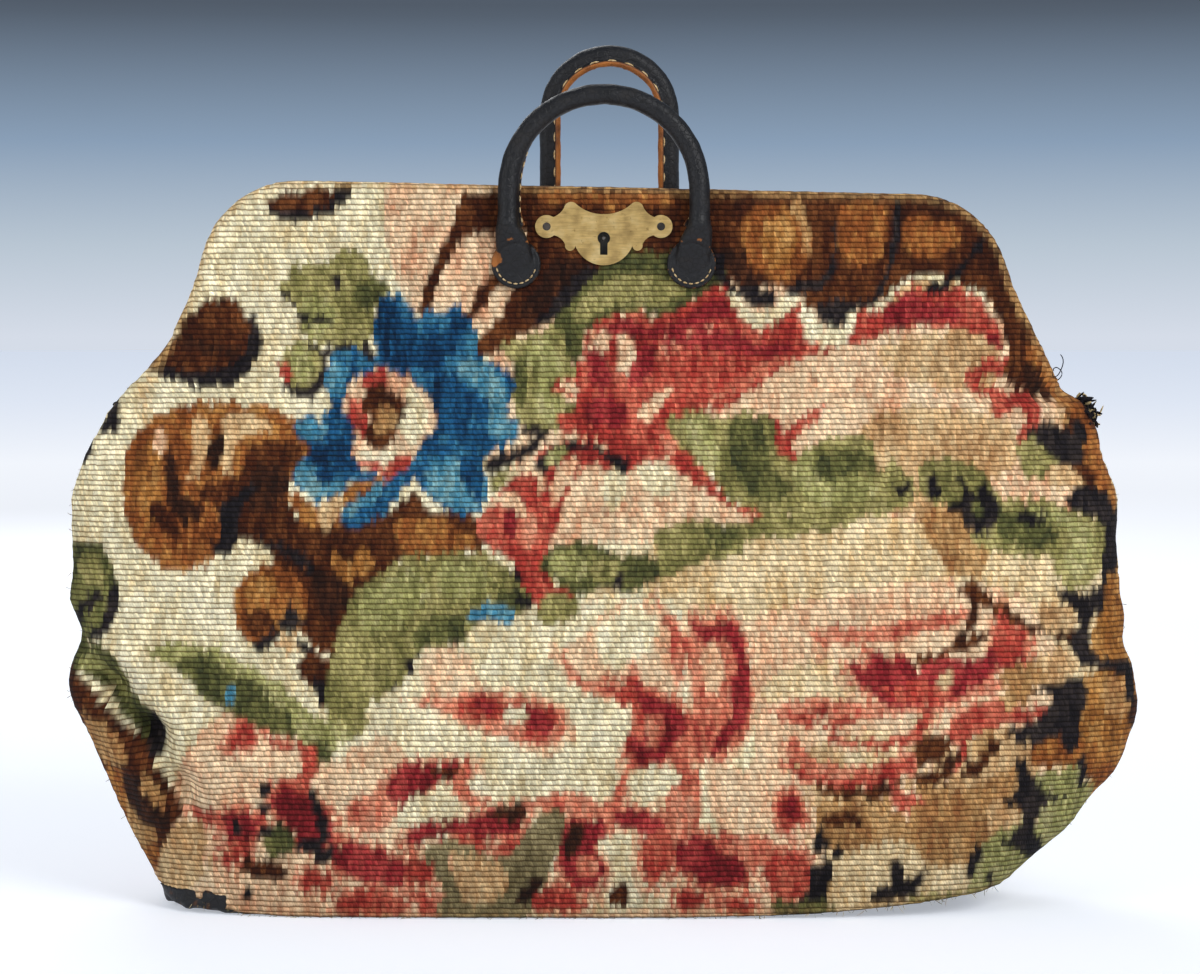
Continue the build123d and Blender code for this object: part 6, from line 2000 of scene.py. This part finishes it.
# Soft studio light: a key from the right front, a weaker fill from the left front and one lamp
# from behind, each a square soft box, under a pale even sky.
def soft_lamp(name, place, target, size, power):
    """A square soft box aimed at a point of the bag."""
    data = bpy.data.lights.new(name, "AREA")
    data.size = size
    data.energy = power
    lamp = bpy.data.objects.new(name, data)
    bpy.context.collection.objects.link(lamp)
    lamp.location = place
    lamp.rotation_euler = (Vector(target) - Vector(place)).to_track_quat("-Z", "Y").to_euler()


soft_lamp("key", (1.5, -1.9, 1.7), (0, 0, 0.2), 1.3, 46)
soft_lamp("fill", (-1.9, -1.6, 1.2), (0, 0, 0.2), 1.6, 20)
soft_lamp("rear", (-0.6, 2.2, 1.9), (0, 0, 0.25), 1.6, 30)
world = bpy.data.worlds.new("studio")
bpy.context.scene.world = world
world.use_nodes = True
tree = world.node_tree
background = tree.nodes["Background"]
background.inputs["Color"].default_value = (*linear("E9EDF2"), 1)
background.inputs["Strength"].default_value = 0.5
# what the camera and metal see behind the floor's far edge: a sheet that darkens upwards
seen = add_node(tree, "LightPath")
seen_or_mirrored = add_node(tree, "Math", {
    0: seen.outputs["Is Camera Ray"], 1: seen.outputs["Is Glossy Ray"]}, operation="MAXIMUM")
seen_or_mirrored = add_node(tree, "Math", {
    0: seen_or_mirrored.outputs[0], 1: seen.outputs["Is Transmission Ray"]}, operation="MAXIMUM")
direction = add_node(tree, "TexCoord").outputs["Generated"]
rise = add_node(tree, "SeparateXYZ", {"Vector": direction}).outputs["Z"]
sheet_tone = add_node(tree, "ValToRGB", {"Fac": rise}, [
    (0.0, linear("D5DCE8")), (0.031, linear("B9C6D3")), (0.066, linear("8A9FB7")), (0.112, linear("525C69")),
    (0.5, linear("8E98A6")),
]).outputs["Color"]
backdrop = add_node(tree, "Background", {"Color": sheet_tone, "Strength": 1.0})
mix = add_node(tree, "MixShader", {
    0: seen_or_mirrored.outputs[0], 1: background.outputs[0], 2: backdrop.outputs[0]})
tree.links.new(mix.outputs[0], tree.nodes["World Output"].inputs["Surface"])
bpy.context.scene.view_settings.view_transform = "Standard"
